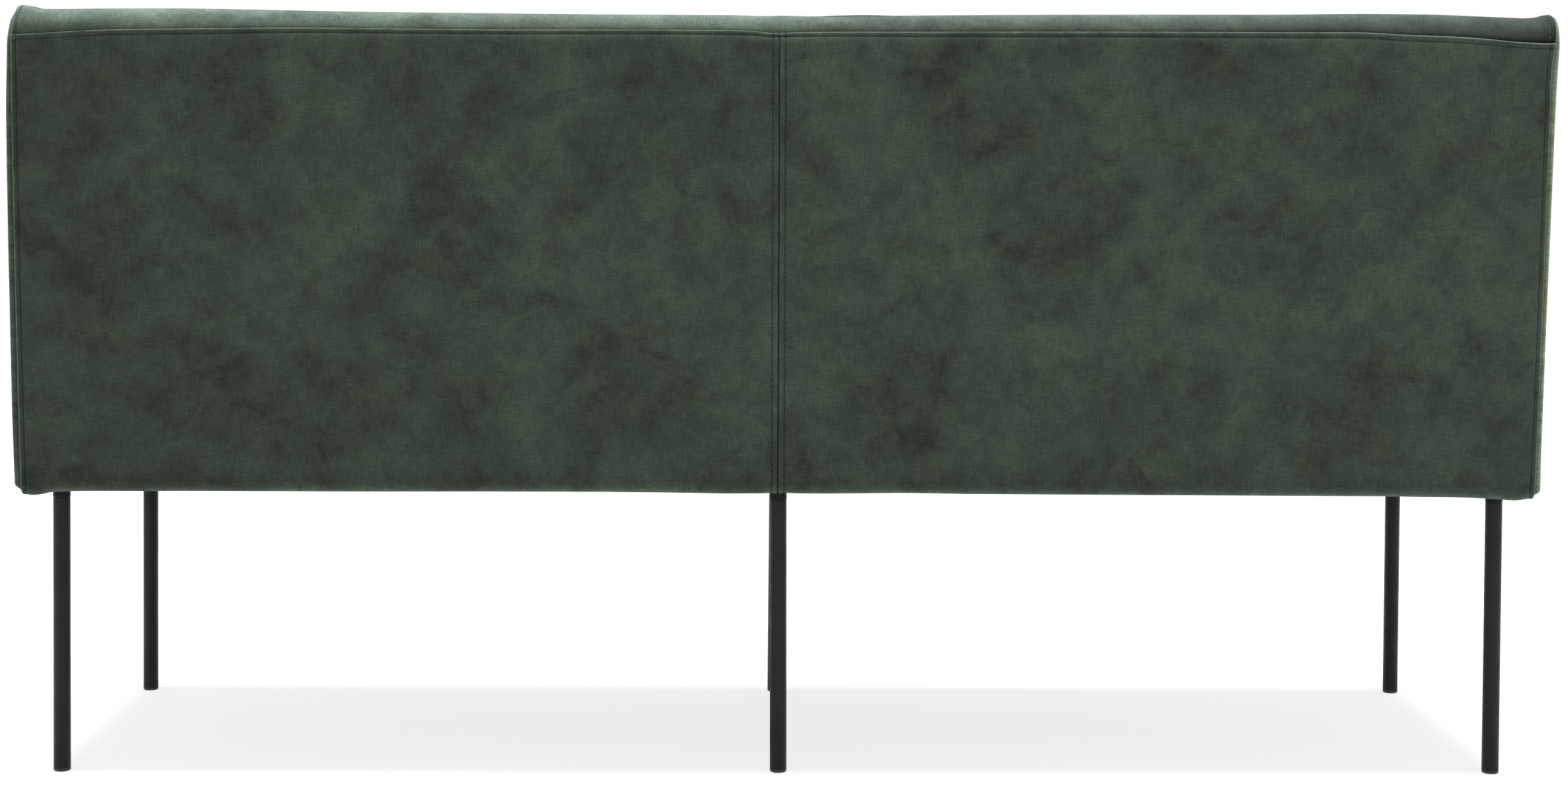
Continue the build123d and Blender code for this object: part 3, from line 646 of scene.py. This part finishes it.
def velvet():
    """Dark green cotton velvet: cloudy pile, slubbed warp and weft, a soft sheen at a glance, and painted light
    in the base colour.
    """
    f = Finish("velvet_cover", on_cloth=True)
    broad = f.texture(7.0, 3.0, 0.55, distortion=0.6)
    patches = f.texture(26.0, 4.0, 0.6, distortion=0.4)
    fine_patches = f.texture(110.0, 3.0, 0.6)
    warp = f.texture(1.0, 2.0, 0.6, (900.0, 55.0, 1.0))
    weft = f.texture(1.0, 2.0, 0.6, (60.0, 850.0, 1.0))
    slubs = f.texture(1.0, 2.0, 0.6, (420.0, 45.0, 1.0))
    grain = f.texture(700.0, 3.0, 0.65)
    hue = f.texture(15.0, distortion=0.3)
    pile_and_painted_light = f.node("Attribute", attribute_name="pile_and_painted_light").outputs["Fac"]
    facing = f.node("LayerWeight", {"Blend": 0.5}).outputs["Facing"]
    cloud = f.sum_of((broad, 0.42), (patches, 0.43), (fine_patches, 0.15))
    thread = f.sum_of((warp, 0.25), (weft, 0.24), (slubs, 0.07), (grain, 0.44))
    base = f.tones(f.ranged(cloud, 0.36, 0.64), "2B3128", "4D594B")
    # Random hues and olive patches; where the pile lightness attribute is highest, on the painted fold highlights
    # and painted sheen, an olive tint that is part of that painted light
    for where, share, tint in ((f.ranged(hue, 0.38, 0.62), 0.3, "3A483F"),
                               (f.ranged(patches, 0.5, 0.72), 0.2, "3F4338"),
                               (f.ranged(pile_and_painted_light, 1.8, 3.6), 0.8, "474D3C")):
        base = f.mix(f.maths("MULTIPLY", where, share), base, colour(tint))
    # Painted sheen: the base colour turned cooler at a glance
    base = f.mix(f.ranged(facing, 0.08, 0.5), base, PAINTED_SHEEN_TINT, "MULTIPLY")
    # Lightness: thread and grain, times the pile's tone with its painted highlights and painted shade
    shade = f.maths("MULTIPLY", f.ranged(thread, 0.38, 0.62, 0.5, 1.56), f.ranged(pile_and_painted_light, -1.5, 4.0, 0.12, 2.54))
    # Painted sheen: the base colour made up to 2.6 times lighter at a glance, falling away at the very edge
    painted_sheen = f.maths("MULTIPLY", f.ranged(facing, 0.08, 1.0, 1.0, 2.6), f.ranged(facing, 0.78, 0.97, 1.0, 0.1))
    shade = f.maths("MULTIPLY", shade, painted_sheen)
    woven_and_painted_light = f.node("VectorMath", {0: base, "Scale": shade}, operation="SCALE").outputs[0]
    relief = f.maths("ADD", thread, f.maths("MULTIPLY", fine_patches, 0.35))
    return f.paint(woven_and_painted_light, 0.82, relief, 0.55, 0.0007, {
        "Specular IOR Level": 0.18, "Sheen Weight": 0.25, "Sheen Roughness": 0.34,
        "Sheen Tint": colour("A8C8B8")})


def grained(name, first, second, grain, roughness, strength, depth):
    """A finish whose one grain gives both its tones and its relief."""
    f = Finish(name)
    relief = f.texture(*grain)
    return f.paint(f.tones(relief, first, second), roughness, relief, strength, depth)


def thread_finish(name, dark, light):
    """Sewing thread with a light twist."""
    return grained(name, dark, light, (2200.0, 1.0), 0.6, 0.4, 0.0002)


def soft_filling(name, pale, dark, scale):
    """Open foam or fibre wadding."""
    return grained(name, pale, dark, (scale, 4.0, 0.7), 0.95, 0.6, 0.001)


def powder_coat():
    """Black powder coat: fine orange peel, slightly uneven gloss."""
    f = Finish("black_powder_coat")
    uneven = f.texture(40.0)
    gloss = f.ranged(uneven, 0.3, 0.7, 0.42, 0.56)
    return f.paint(f.tones(uneven, "121215", "18181C"), gloss, f.texture(900.0), 0.25, 0.0002,
                   {"Specular IOR Level": 0.22})


def glide_plastic():
    """Black moulded plastic with a faint grain, scuffed under the foot."""
    f = Finish("glide_plastic")
    scuff = f.texture(220.0, 3.0, 0.7)
    base = f.tones(f.ranged(scuff, 0.5, 0.75), "1D1D1F", "2F2F31")
    return f.paint(base, f.ranged(scuff, 0.3, 0.7, 0.4, 0.65), f.texture(1500.0, 2.0, 0.6), 0.3, 0.0002)


def timber(name, pale, dark, stretch):
    """Planed softwood or the edge of sheet stock, with its grain along the bench."""
    f = Finish(name)
    rings = f.texture(1.0, 4.0, 0.6, stretch, 0.8)
    pores = f.texture(1.0, 2.0, 0.6, [v * 6 for v in stretch])
    base = f.tones(f.ranged(rings, 0.35, 0.65), pale, dark)
    return f.paint(base, f.ranged(pores, 0.3, 0.7, 0.55, 0.8), pores, 0.3, 0.0003)


def strap_weave():
    """Elastic seat webbing with ribs across."""
    ribs = (1.0, 1.0, 0.5, (700.0, 700.0, 60.0))
    return grained("elastic_webbing", "2B2B2D", "57534B", ribs, 0.85, 0.5, 0.0005)


def dust_cloth():
    """Thin black spun cloth with a point-bonded pattern."""
    f = Finish("black_dust_cloth")
    bonds = f.node("TexVoronoi", {"Vector": f.place, "Scale": 420.0}).outputs["Distance"]
    fibres = f.texture(600.0, 4.0, 0.7)
    return f.paint(f.tones(fibres, "18181A", "2D2D30"), 0.9, f.maths("ADD", bonds, fibres), 0.4, 0.0004)


def bright_zinc():
    """Bright zinc plating with faint spangle and drawing marks."""
    f = Finish("bright_zinc")
    marks = f.texture(1.0, 3.0, 0.6, (300.0, 300.0, 40.0))
    gloss = f.ranged(marks, 0.3, 0.7, 0.25, 0.45)
    return f.paint(f.tones(marks, "9DA1A6", "C3C6CA"), gloss, marks, 0.2, 0.0002, {"Metallic": 1.0})


VELVET = velvet()
# This thread is darker than the real thread, as painted shade of the needle holes along the topstitching
THREAD = thread_finish("topstitch_thread", "12160F", "23291F")
OLIVE_THREAD = thread_finish("olive_topstitch_thread", "43472F", "5A5D40")
GREEN_THREAD = thread_finish("green_topstitch_thread", "2B3328", "434B3A")
COAT = powder_coat()
GLIDE = glide_plastic()
DUST_CLOTH = dust_cloth()
ZINC = bright_zinc()
NODE_FINISH = {
    "velvet": VELVET,
    "dust_cloth": DUST_CLOTH,
    "zinc_steel": ZINC,
    "black_steel": COAT,
    "glide_plastic": GLIDE,
    "wadding": soft_filling("fibre_wadding", "E8E6E0", "D2D0CA", 220.0),
    "foam": soft_filling("seat_foam_cells", "D9CFA8", "C4B88E", 500.0),
    "timber": timber("planed_softwood", "C9A777", "A9824F", (6.0, 60.0, 60.0)),
    "plywood": timber("birch_plywood", "D3B68A", "B28F5E", (30.0, 12.0, 60.0)),
    "hardboard": timber("brown_hardboard", "7D5B3C", "6A4A2F", (90.0, 90.0, 90.0)),
    "webbing": strap_weave(),
}


def wear(piece, material):
    piece.data.materials.clear()
    piece.data.materials.append(material)


for part in frame["record"]["subparts"]:
    wear(nodes[part["node"]], NODE_FINISH[part["material_slot"]])


def own(piece, material, slot, *replaced):
    wear(piece, material)
    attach(piece, "root")
    if replaced:
        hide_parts(*replaced)
    return piece


# Cover panels with their padding
for side, x_range, seed in (("left", (-SIDE_SEAM_X, CENTRE_SEAM_X - SEAM_GAP), 1),
                            ("right", (CENTRE_SEAM_X + SEAM_GAP, SIDE_SEAM_X), 8)):
    ends, back_ends = ("fold", "butt"), ("tucked", "butt")
    if side == "right":
        ends, back_ends = ("butt", "fold"), ("butt", "pale_fold")
    rear = Panel(f"rear_panel_{side}", (S_REAR_WRAP, S_REAR_SEAM - SEAM_GAP), x_range,
                 ("wrap", "top_fold") + ends, seed, pressure=1.6, slack=0.002, cap=5.0)
    own(rear.build(REAR_BACKING), VELVET, "velvet", f"rear_cover_{side}", "rear_wadding")
    back = Panel(f"back_panel_{side}", (S_REAR_SEAM + SEAM_GAP, S_CREASE - SEAM_GAP), x_range,
                 ("under", "crease") + back_ends, seed=3, pressure=2.6, slack=0.004, cap=9.0)
    own(back.build(BACK_BACKING), VELVET, "velvet", f"inside_back_cover_{side}", "back_foam")
    seat = Panel(f"seat_panel_{side}", (S_CREASE + SEAM_GAP, S_FRONT_WRAP), x_range,
                 ("crease", "wrap") + ends, seed + 4, pressure=2.6, slack=0.004, cap=9.0)
    own(seat.build(SEAT_BACKING), VELVET, "velvet", f"seat_cover_{side}", "seat_foam", "front_wadding")


# The end cover's rings: shares of the way round the edge, from the seam to the flat
END_RINGS = (0.0, 0.04, 0.1, 0.2, 0.35, 0.52, 0.7, 0.86, 1.0)
RING_POINTS = 470
END_SPACING = 9.0


def inside_of(points, polygon):
    """Which points lie inside a closed polygon."""
    inside = np.zeros(len(points), bool)
    for (ya, za), (yb, zb) in zip(polygon, np.roll(polygon, -1, 0)):
        crosses = (za > points[:, 1]) != (zb > points[:, 1])
        at = ya + (points[:, 1] - za) * (yb - ya) / (zb - za if zb != za else 1e-9)
        inside ^= crosses & (points[:, 0] < at)
    return inside


def end_panel(side, sign):
    """The padded end of the bench: round the edge from the seam, then across the flat of the L."""
    steps = np.linspace(0, LOOP, RING_POINTS, endpoint=False)
    seam_x = np.full(RING_POINTS, sign * SIDE_SEAM_X)
    radius = end_radius(steps, sign)
    start = np.arcsin(np.clip((SIDE_SEAM_X + SEAM_GAP - (HALF_WIDTH - radius)) / radius, 0, 1))
    has_seam = np.where((steps > 14) & (steps < S_REAR_WRAP), 0.0, 1.0)
    y, z, ny, nz = outline_at(along_cover(steps, seam_x))
    bulge = eased(z, END_BULGE[side])
    loops, arcs = [], []
    for fraction in END_RINGS:
        angle = start + (math.pi / 2 - start) * fraction
        arc = (angle - start) * radius
        lift = (eased(arc * 1.6, BESIDE["under"]) - FULL * 0.55) * has_seam + bulge * smooth_step(fraction)
        reach = np.abs(seam_reach(seam_x, z)) * (1 - smooth_step(fraction))
        x = HALF_WIDTH - radius + radius * np.sin(angle) + reach + lift * np.sin(angle)
        proud = lift * np.cos(angle) - radius * (1 - np.cos(angle))
        loops.append(hang(np.stack([sign * x, y + ny * proud, z + nz * proud], -1)))
        arcs.append(arc)

    # Evenly spaced points across the flat, joined up with the innermost ring
    rim = loops.pop()
    polygon = rim[:, 1:]
    spread = np.array([(across + (END_SPACING / 2 if row % 2 else 0), up)
                       for row, up in enumerate(np.arange(330, 915, END_SPACING * 0.866))
                       for across in np.arange(-300, 305, END_SPACING)])
    gaps = np.min(np.linalg.norm(spread[:, None] - polygon[None], axis=2), axis=1)
    kept = inside_of(spread, polygon) & (gaps > 5.5)
    places = [Vector(p) for p in np.vstack([polygon, spread[kept]])]
    sides = [(i, (i + 1) % RING_POINTS) for i in range(RING_POINTS)]
    made, _, faces, origin, _, _ = delaunay_2d_cdt(places, sides, [], 1, 1e-6)
    made = np.array(made)
    source = np.array([o[0] if o else 0 for o in origin])
    held = source < RING_POINTS
    gap = np.concatenate([np.zeros(RING_POINTS), gaps[kept]])[source]
    flat_x = HALF_WIDTH + eased(made[:, 1], END_BULGE[side]) + FULL * 0.45 + 2.2 * (1 - np.exp(-gap / 30.0))
    flat_x[held] = np.abs(rim[source[held], 0])
    flat = np.column_stack([sign * flat_x, made])
    moved = settle(flat, [face[::sign] for face in faces], held, 0.003, 1.6)
    flat[:, 0] += np.clip(moved[:, 0] * sign, -0.5, 4.0) * sign

    inside_edge = hang(np.stack([np.full(RING_POINTS, sign * FRAME_X), y - 3.0 * ny, z - 3.0 * nz], -1))
    points = np.vstack([*loops, flat, inside_edge])
    first_flat = len(loops) * RING_POINTS
    on_rim = {o[0]: first_flat + i for i, o in enumerate(origin) if o}
    rings = [*np.arange(first_flat).reshape(-1, RING_POINTS), [on_rim[i] for i in range(RING_POINTS)]]
    inside_ring = np.arange(len(points) - RING_POINTS, len(points))
    polys = [[first_flat + i for i in face] for face in faces]
    for low, high in zip(rings, rings[1:]):
        polys += band(low, high)
    polys += band(inside_ring, rings[0]) + [inside_ring.tolist()]
    round_edge = np.stack([y, z], -1)
    uv = np.vstack([np.tile(round_edge, (len(loops), 1)), made, round_edge])
    from_seam = np.concatenate([*arcs[:-1], np.full(len(flat), 20.0), np.zeros(RING_POINTS)])
    # Pile tone and painted sheen of the end, with painted shade close beside the seam
    pile_and_painted_light = pile_and_painted_light_over(points, f"{side}_end") + np.interp(from_seam, *PAINTED_LIGHT_BESIDE["end_edge"])
    panel = new_piece(f"end_panel_{side}", points, polys)
    dress(panel, uv * MM + 3.3 * sign, pile_and_painted_light)
    own(panel, VELVET, "velvet", f"side_cover_{side}", f"side_wadding_{side}")


def under_wrap(side, sign):
    """The edge of an end cover, turned under the bench and stapled."""
    lines_x = [WRAP_X, 879, 884, 889, SIDE_SEAM_X - 0.2]
    y, x = np.meshgrid(np.linspace(WRAP_FRONT_Y, WRAP_REAR_Y, 60), lines_x, indexing="ij")
    low = body_point(y - OUTLINE_START[0], sign * x, -0.2 + 0 * x)
    low[..., 0] = sign * x
    high = low.copy()
    high[..., 2] = np.maximum(low[..., 2] + 1.2, 342.2)
    piece = closed_panel(f"under_wrap_{side}", hang(low), hang(high), np.stack([x, y], -1), 0.5 + 0 * x)
    own(piece, VELVET, "velvet")


for side, sign in SIDES:
    end_panel(side, sign)
for side, sign in SIDES:
    under_wrap(side, sign)


# A stitch is a short six-sided bead: places along it, and how thick it is there
BEAD_RINGS = [(-0.5, 0.35), (-0.34, 1.0), (0.34, 1.0), (0.5, 0.35)]
BEAD_SIDES = 6
THREAD_WIDTH = 1.05
PITCH = 6.75
STITCH_LINE = 6.4
BUTT_STITCH_LINE = 7.0


def stitches(name, rows, material, length=5.2):
    """Topstitching as separate short threads, pressed into the cover. A row is lists of points and normals."""
    verts, faces = [], []
    for places, normals in rows:
        for p, t, n in zip(places, np.gradient(places, axis=0), normals):
            t = t / np.linalg.norm(t)
            n = n - t * (n @ t)
            n /= np.linalg.norm(n)
            b = np.cross(t, n)
            first = len(verts)
            for at, size in BEAD_RINGS:
                for k in range(BEAD_SIDES):
                    angle = 2 * math.pi * k / BEAD_SIDES
                    ring = b * math.cos(angle) * THREAD_WIDTH / 2 + n * math.sin(angle) * THREAD_WIDTH * 0.4
                    verts.append(p + t * at * length + ring * size - n * 0.25 * abs(at))
            rings = first + np.arange(4 * BEAD_SIDES).reshape(4, BEAD_SIDES)
            for low, high in zip(rings, rings[1:]):
                faces += band(low, high)
            faces += [rings[0, ::-1].tolist(), rings[3].tolist()]
    piece = new_piece(name, np.array(verts), faces)
    turn_outwards(piece)
    own(piece, material, "velvet")


def stitch_path(panel, s, x):
    """Where stitches lie on a panel, and which way its cover faces. One of s and x may be a single value."""
    s, x = np.broadcast_arrays(s, x)
    step = 1.0
    beside_s = panel.surface(s + step, x) - panel.surface(s - step, x)
    beside_x = panel.surface(s, x + step) - panel.surface(s, x - step)
    normals = np.cross(beside_x, beside_s)
    normals /= np.linalg.norm(normals, axis=1)[:, None]
    ny, nz = outline_at(along_cover(s, x))[2:]
    normals *= np.sign(normals[:, 1] * ny + normals[:, 2] * nz)[:, None]
    return panel.surface(s, x) + normals * 0.12, normals


def run_of(low, high):
    return np.arange(low + PITCH / 2, high, PITCH)


for side, sign in SIDES:
    rear, back, seat = (PANELS[f"{name}_panel_{side}"] for name in ("rear", "back", "seat"))
    centre, outer = (rear.x_high, rear.x_low) if side == "left" else (rear.x_low, rear.x_high)
    at_centre, at_end = centre + sign * BUTT_STITCH_LINE, outer - sign * STITCH_LINE
    x = run_of(rear.x_low + 5, rear.x_high - 5)
    s = run_of(rear.s_low + 26, rear.s_high - STITCH_LINE - 1)
    rows = [stitch_path(rear, rear.s_high - STITCH_LINE, x), stitch_path(rear, s, at_end)]
    stitches(f"rear_topstitch_{side}", rows, THREAD)
    stitches(f"rear_centre_topstitch_{side}", [stitch_path(rear, s, at_centre)], GREEN_THREAD, length=4.5)
    s = run_of(RUN_AT["front_roll"] + 32, back.s_high - 8)
    stitches(f"back_topstitch_{side}", [stitch_path(back, s, at_centre)], GREEN_THREAD)
    s = run_of(back.s_low + 3, back.s_high - 8)
    end_thread = OLIVE_THREAD if side == "left" else THREAD
    stitches(f"back_end_topstitch_{side}", [stitch_path(back, s, at_end)], end_thread)
    s = run_of(seat.s_low + 10, seat.s_high - 26)
    rows = [stitch_path(seat, s, at_centre), stitch_path(seat, s, at_end)]
    stitches(f"seat_topstitch_{side}", rows, GREEN_THREAD)
# A short bar tack just below the corner of the folded edge
rear = PANELS["rear_panel_right"]
stitches("corner_bar_tack", [stitch_path(rear, rear.s_high - 4.4, [888.1, 890.6])], OLIVE_THREAD, length=2.7)


LEG_PLACES = {f"{row}_{place}": (x, y) for row, y in (("rear", 225.0), ("front", -236.5))
              for place, x in (("left", -855.75), ("centre", 0.0), ("right", 855.75))}
# How far the middle legs' tubes stand along the bench from the true place: at the foot and at the top
LEG_LEAN = {"rear_centre": (2.3, 4.3), "front_centre": (-1.7, -2.4)}
TUBE_RADIUS = 10.0
TUBE_BORE = 8.5
TUBE_FOOT = 4.6
WELD_HEIGHT = 326.8
DISC_RADIUS = 10.2
DISC_TOP = 342.0
STUD_RADIUS = 5.0
STUD_TOP = 372.0
# Up the weld bead to the top of the disc: rise and radius
WELD_PROFILE = ((0.35, 9.55), (0.35, 9.5), (0.5, 10.15), (0.7, 10.4), (0.6, DISC_RADIUS),
                (DISC_TOP - WELD_HEIGHT - 2.5, DISC_RADIUS))


def choose(piece, kind, wanted):
    """Selects, in edit mode, each VERT, EDGE or FACE of a piece that passes a test."""
    bpy.ops.mesh.select_mode(type=kind)
    bpy.ops.mesh.select_all(action="DESELECT")
    mode("OBJECT")
    mesh = piece.data
    for item in {"VERT": mesh.vertices, "EDGE": mesh.edges, "FACE": mesh.polygons}[kind]:
        item.select = wanted(item)
    mode("EDIT")


def pull(rise):
    bpy.ops.mesh.extrude_region_move(TRANSFORM_OT_translate={"value": (0, 0, rise * MM)})


def draw_ring(axis, height, rise, grow):
    """Pulls the selected end face up (or down) and makes it wider or narrower about its axis."""
    pull(rise)
    middle = (axis[0] * MM, axis[1] * MM, (height + rise) * MM)
    bpy.ops.transform.resize(value=(grow, grow, 1), center_override=middle)


def begun(name):
    """The piece just added, with its size and place applied, in edit mode."""
    bpy.ops.object.transform_apply(location=True, rotation=True, scale=True)
    piece = bpy.context.object
    piece.name = piece.data.name = name
    mode("EDIT")
    return piece


def round_bar(name, axis, radius, low, high):
    bpy.ops.object.select_all(action="DESELECT")
    bpy.ops.mesh.primitive_cylinder_add(vertices=64, radius=radius * MM, depth=(high - low) * MM,
                                        location=(axis[0] * MM, axis[1] * MM, (high + low) / 2 * MM))
    return begun(name)


def lean_tube(leg, axis, at_foot, at_top):
    """Slides each ring along the bench, evenly more with height. The stud stays on its true place."""
    def in_stud(p):
        return p.z > DISC_TOP - 0.01 and math.hypot(p.x - axis[0], p.y - axis[1]) < STUD_RADIUS + 0.5

    mode("OBJECT")
    heights = {round(v.co.z / MM, 3) for v in leg.data.vertices if v.co.z / MM < DISC_TOP + 0.01}
    mode("EDIT")
    for height in sorted(heights):
        choose(leg, "VERT", lambda v: abs(v.co.z / MM - height) < 0.002 and not in_stud(v.co / MM))
        amount = at_foot + (at_top - at_foot) * (height - TUBE_FOOT) / (DISC_TOP - TUBE_FOOT)
        bpy.ops.transform.translate(value=(amount * MM, 0, 0))


def steel_leg(place):
    """Powder-coated tube, welded to a disc and a stud. The weld is a low bead just under the disc."""
    axis = LEG_PLACES[place]
    leg = round_bar(f"steel_leg_{place}", axis, TUBE_RADIUS, TUBE_FOOT, WELD_HEIGHT)
    choose(leg, "FACE", lambda face: face.normal.z > 0.9)
    height, last = WELD_HEIGHT, TUBE_RADIUS
    for rise, size in WELD_PROFILE:
        draw_ring(axis, height, rise, size / last)
        height, last = height + rise, size
    bpy.ops.mesh.inset(thickness=(DISC_RADIUS - STUD_RADIUS) * MM)
    draw_ring(axis, height, STUD_TOP - 0.8 - height, 1.0)
    draw_ring(axis, STUD_TOP - 0.8, 0.8, 4.3 / STUD_RADIUS)
    choose(leg, "FACE", lambda face: face.normal.z < -0.9 and face.center.z / MM < TUBE_FOOT + 1)
    bpy.ops.mesh.inset(thickness=(TUBE_RADIUS - TUBE_BORE) * MM)
    pull(24.0)
    choose(leg, "EDGE", lambda edge: all(abs(leg.data.vertices[i].co.z / MM - TUBE_FOOT) < 0.01
                                         for i in edge.vertices))
    bpy.ops.mesh.bevel(offset=0.3 * MM, segments=2, affect="EDGES")
    if place in LEG_LEAN:
        lean_tube(leg, axis, *LEG_LEAN[place])
    mode("OBJECT")
    bpy.ops.object.shade_smooth_by_angle(angle=math.radians(35))
    own(leg, COAT, "black_steel", f"leg_{place}")


def foot_glide(place):
    """Ribbed push-in glide with a rounded head, for a tube that doesn't stand on its true place."""
    axis = (LEG_PLACES[place][0] + LEG_LEAN[place][0], LEG_PLACES[place][1])
    glide = round_bar(f"plastic_glide_{place}", axis, 10.0, 1.2, 4.0)
    choose(glide, "FACE", lambda face: face.normal.z < -0.9)
    draw_ring(axis, 1.2, -0.6, 0.94)
    draw_ring(axis, 0.6, -0.6, 0.936)
    choose(glide, "FACE", lambda face: face.normal.z > 0.9)
    draw_ring(axis, 4.0, 0.6, 0.92)
    bpy.ops.mesh.inset(thickness=1.5 * MM)
    height = 4.6
    for _ in range(4):
        for rise, grow in ((3.0, 1.0), (0.4, 8.3 / 7.7), (0.7, 7.7 / 8.3)):
            draw_ring(axis, height, rise, grow)
            height += rise
    mode("OBJECT")
    bpy.ops.object.shade_smooth_by_angle(angle=math.radians(35))
    own(glide, GLIDE, "glide_plastic", f"foot_glide_{place}")


for place in LEG_PLACES:
    steel_leg(place)
for place in LEG_LEAN:
    foot_glide(place)


STAPLE_LENGTH = 10.0
STAPLE_WIDTH = 1.1
STAPLE_WIRE = 0.6
STAPLE_TOP = 342.55


def staple_row(name, start, line, pitch, count):
    """Staples through the dust cover, in a row along x (0) or y (1), with their ends turned up into the cloth."""
    along = Vector((1 - line, line, 0))
    middle = Vector((*start, DISC_TOP))
    size = [STAPLE_WIDTH, STAPLE_WIDTH, STAPLE_WIRE]
    size[line] = STAPLE_LENGTH
    bpy.ops.object.select_all(action="DESELECT")
    bpy.ops.mesh.primitive_cube_add(
        size=MM, location=(start[0] * MM, start[1] * MM, (STAPLE_TOP - STAPLE_WIRE / 2) * MM))
    bpy.ops.transform.resize(value=size)
    row = begun(name)
    for end in (-1, 1):
        bpy.ops.mesh.select_all(action="SELECT")
        bpy.ops.mesh.bisect(plane_co=(middle + along * end * (STAPLE_LENGTH / 2 - 0.9)) * MM, plane_no=along)
    choose(row, "FACE", lambda face: (face.normal.z > 0.9
                                      and abs(face.center[line] / MM - start[line]) > STAPLE_LENGTH / 2 - 1))
    pull(0.25)
    mode("OBJECT")
    turn_outwards(row)
    modify(row, "soft_edges", "BEVEL", width=0.12 * MM, segments=1)
    modify(row, "along_the_edge", "ARRAY", count=count, use_relative_offset=False, use_constant_offset=True,
           constant_offset_displace=along * pitch * MM)
    own(row, ZINC, "zinc_steel")


staple_row("front_staples", (-830.25, -269.5), 0, 40.5, 42)
staple_row("rear_staples", (-830.25, 230.5), 0, 40.5, 42)
staple_row("left_staples", (-870.5, -258.0), 1, 39.5, 13)
staple_row("right_staples", (870.5, -258.0), 1, 39.5, 13)


def underside_sheet():
    """Dust cover: thin cloth stapled round its edge, sagging a little between the rails and the legs."""
    x_lines = np.linspace(-WRAP_X + 0.5, WRAP_X - 0.5, 147)
    y_lines = np.linspace(WRAP_FRONT_Y + 0.5, WRAP_REAR_Y - 0.5, 55)
    x, y = np.meshgrid(x_lines, y_lines, indexing="ij")
    discs = [(leg_x + LEG_LEAN.get(place, (0, 0))[1], leg_y) for place, (leg_x, leg_y) in LEG_PLACES.items()]

    def from_leg(x, y):
        return np.min([np.hypot(x - leg_x, y - leg_y) for leg_x, leg_y in discs], axis=0)

    edge = np.min([x - x_lines[0], x_lines[-1] - x, y - y_lines[0], y_lines[-1] - y], axis=0)
    bays = np.abs(np.sin(x / FRAME_X * math.pi)) ** 0.7
    across = np.clip(np.cos((y + 20.0) / 256.0 * math.pi / 2), 0, 1)
    sag = 3.0 * bays * across * smooth_step(edge / 120.0) * smooth_step((from_leg(x, y) - 14.0) / 60.0)
    points = np.stack([x, y, 342.7 - sag], -1)
    ripples = unevenness(points, 5.0, 130.0, 0.8)
    points[..., 2] -= np.abs(ripples * smooth_step(edge / 60.0) * smooth_step((from_leg(x, y) - 14.0) / 40.0))
    quads = grid_quads(*x.shape)
    middle = points.reshape(-1, 3)[quads].mean(1)
    clear = from_leg(middle[:, 0], middle[:, 1]) > 9.0
    piece = new_piece("underside_cloth", points, quads[clear].tolist())
    turn_outwards(piece)
    mode("EDIT")
    bpy.ops.mesh.delete_loose()
    mode("OBJECT")
    modify(piece, "cloth_thickness", "SOLIDIFY", thickness=0.4 * MM, offset=0)
    own(piece, DUST_CLOTH, "dust_cloth", "dust_cover")


underside_sheet()


# Studio: pale floor, white surround, soft light from above
AMBIENT = 0.44
OVERHEAD = 4.4
FLOOR_GLOW = 2.56


def camera_sees(tree, seen, lit):
    """Camera, glossy and transmission rays get the first shader, and the object is lit by the second."""
    paths = add_node(tree, "LightPath").outputs
    rays = paths["Is Camera Ray"]
    for kind in ("Is Glossy Ray", "Is Transmission Ray"):
        rays = add_node(tree, "Math", {0: rays, 1: paths[kind]}, operation="MAXIMUM").outputs[0]
    return add_node(tree, "MixShader", {0: rays, 1: lit, 2: seen}).outputs[0]


def empty_tree(owner):
    """The owner's own nodes, with nothing in them yet."""
    owner.use_nodes = True
    owner.node_tree.nodes.clear()
    return owner.node_tree


scene.world = bpy.data.worlds.new("studio")
tree = empty_tree(scene.world)
white = add_node(tree, "Background", {"Color": (1, 1, 1, 1)})
soft = add_node(tree, "Background", {"Color": (0.97, 0.99, 1.0, 1), "Strength": AMBIENT})
add_node(tree, "OutputWorld", {"Surface": camera_sees(tree, white.outputs[0], soft.outputs[0])})

bpy.ops.object.select_all(action="DESELECT")
bpy.ops.mesh.primitive_plane_add(size=24.0, location=(0, 0, 0))
floor = bpy.context.object
floor.name = "studio_floor"
paint = bpy.data.materials.new("pale_floor")
tree = empty_tree(paint)
lit = add_node(tree, "BsdfDiffuse", {"Color": (0.6, 0.6, 0.6, 1)})
glow = add_node(tree, "Emission", {"Strength": FLOOR_GLOW})
shown = add_node(tree, "MixShader", {0: 0.7, 1: glow.outputs[0], 2: lit.outputs[0]})
add_node(tree, "OutputMaterial", {"Surface": camera_sees(tree, shown.outputs[0], lit.outputs[0])})
floor.data.materials.append(paint)

sun = bpy.data.lights.new("overhead", "SUN")
sun.energy = OVERHEAD
sun.angle = math.radians(20)
lamp = bpy.data.objects.new("overhead", sun)
scene.collection.objects.link(lamp)
lamp.rotation_euler = (math.radians(0.7), 0, 0)

# Camera at the photograph's place
CAMERA_AT = (0.064, 3.2329, 0.7309)
yaw, pitch, roll = math.radians(-1.0981), math.radians(1.6171), math.radians(-0.3683)
ahead = Vector((math.sin(yaw) * math.cos(pitch), -math.cos(yaw) * math.cos(pitch), -math.sin(pitch)))
across = ahead.cross(Vector((0, 0, 1))).normalized()
upward = across.cross(ahead)
camera_data = bpy.data.cameras.new("camera")
camera_data.sensor_width = 36.0
camera_data.lens = 58.0
camera_data.shift_x = 0.00373
camera_data.shift_y = -0.10224
camera_data.clip_end = 60.0
camera = bpy.data.objects.new("camera", camera_data)
scene.collection.objects.link(camera)
turn = Matrix((across * math.cos(roll) - upward * math.sin(roll),
               upward * math.cos(roll) + across * math.sin(roll), -ahead)).transposed()
camera.matrix_world = Matrix.Translation(CAMERA_AT) @ turn.to_4x4()
scene.camera = camera
scene.view_settings.view_transform = "Standard"
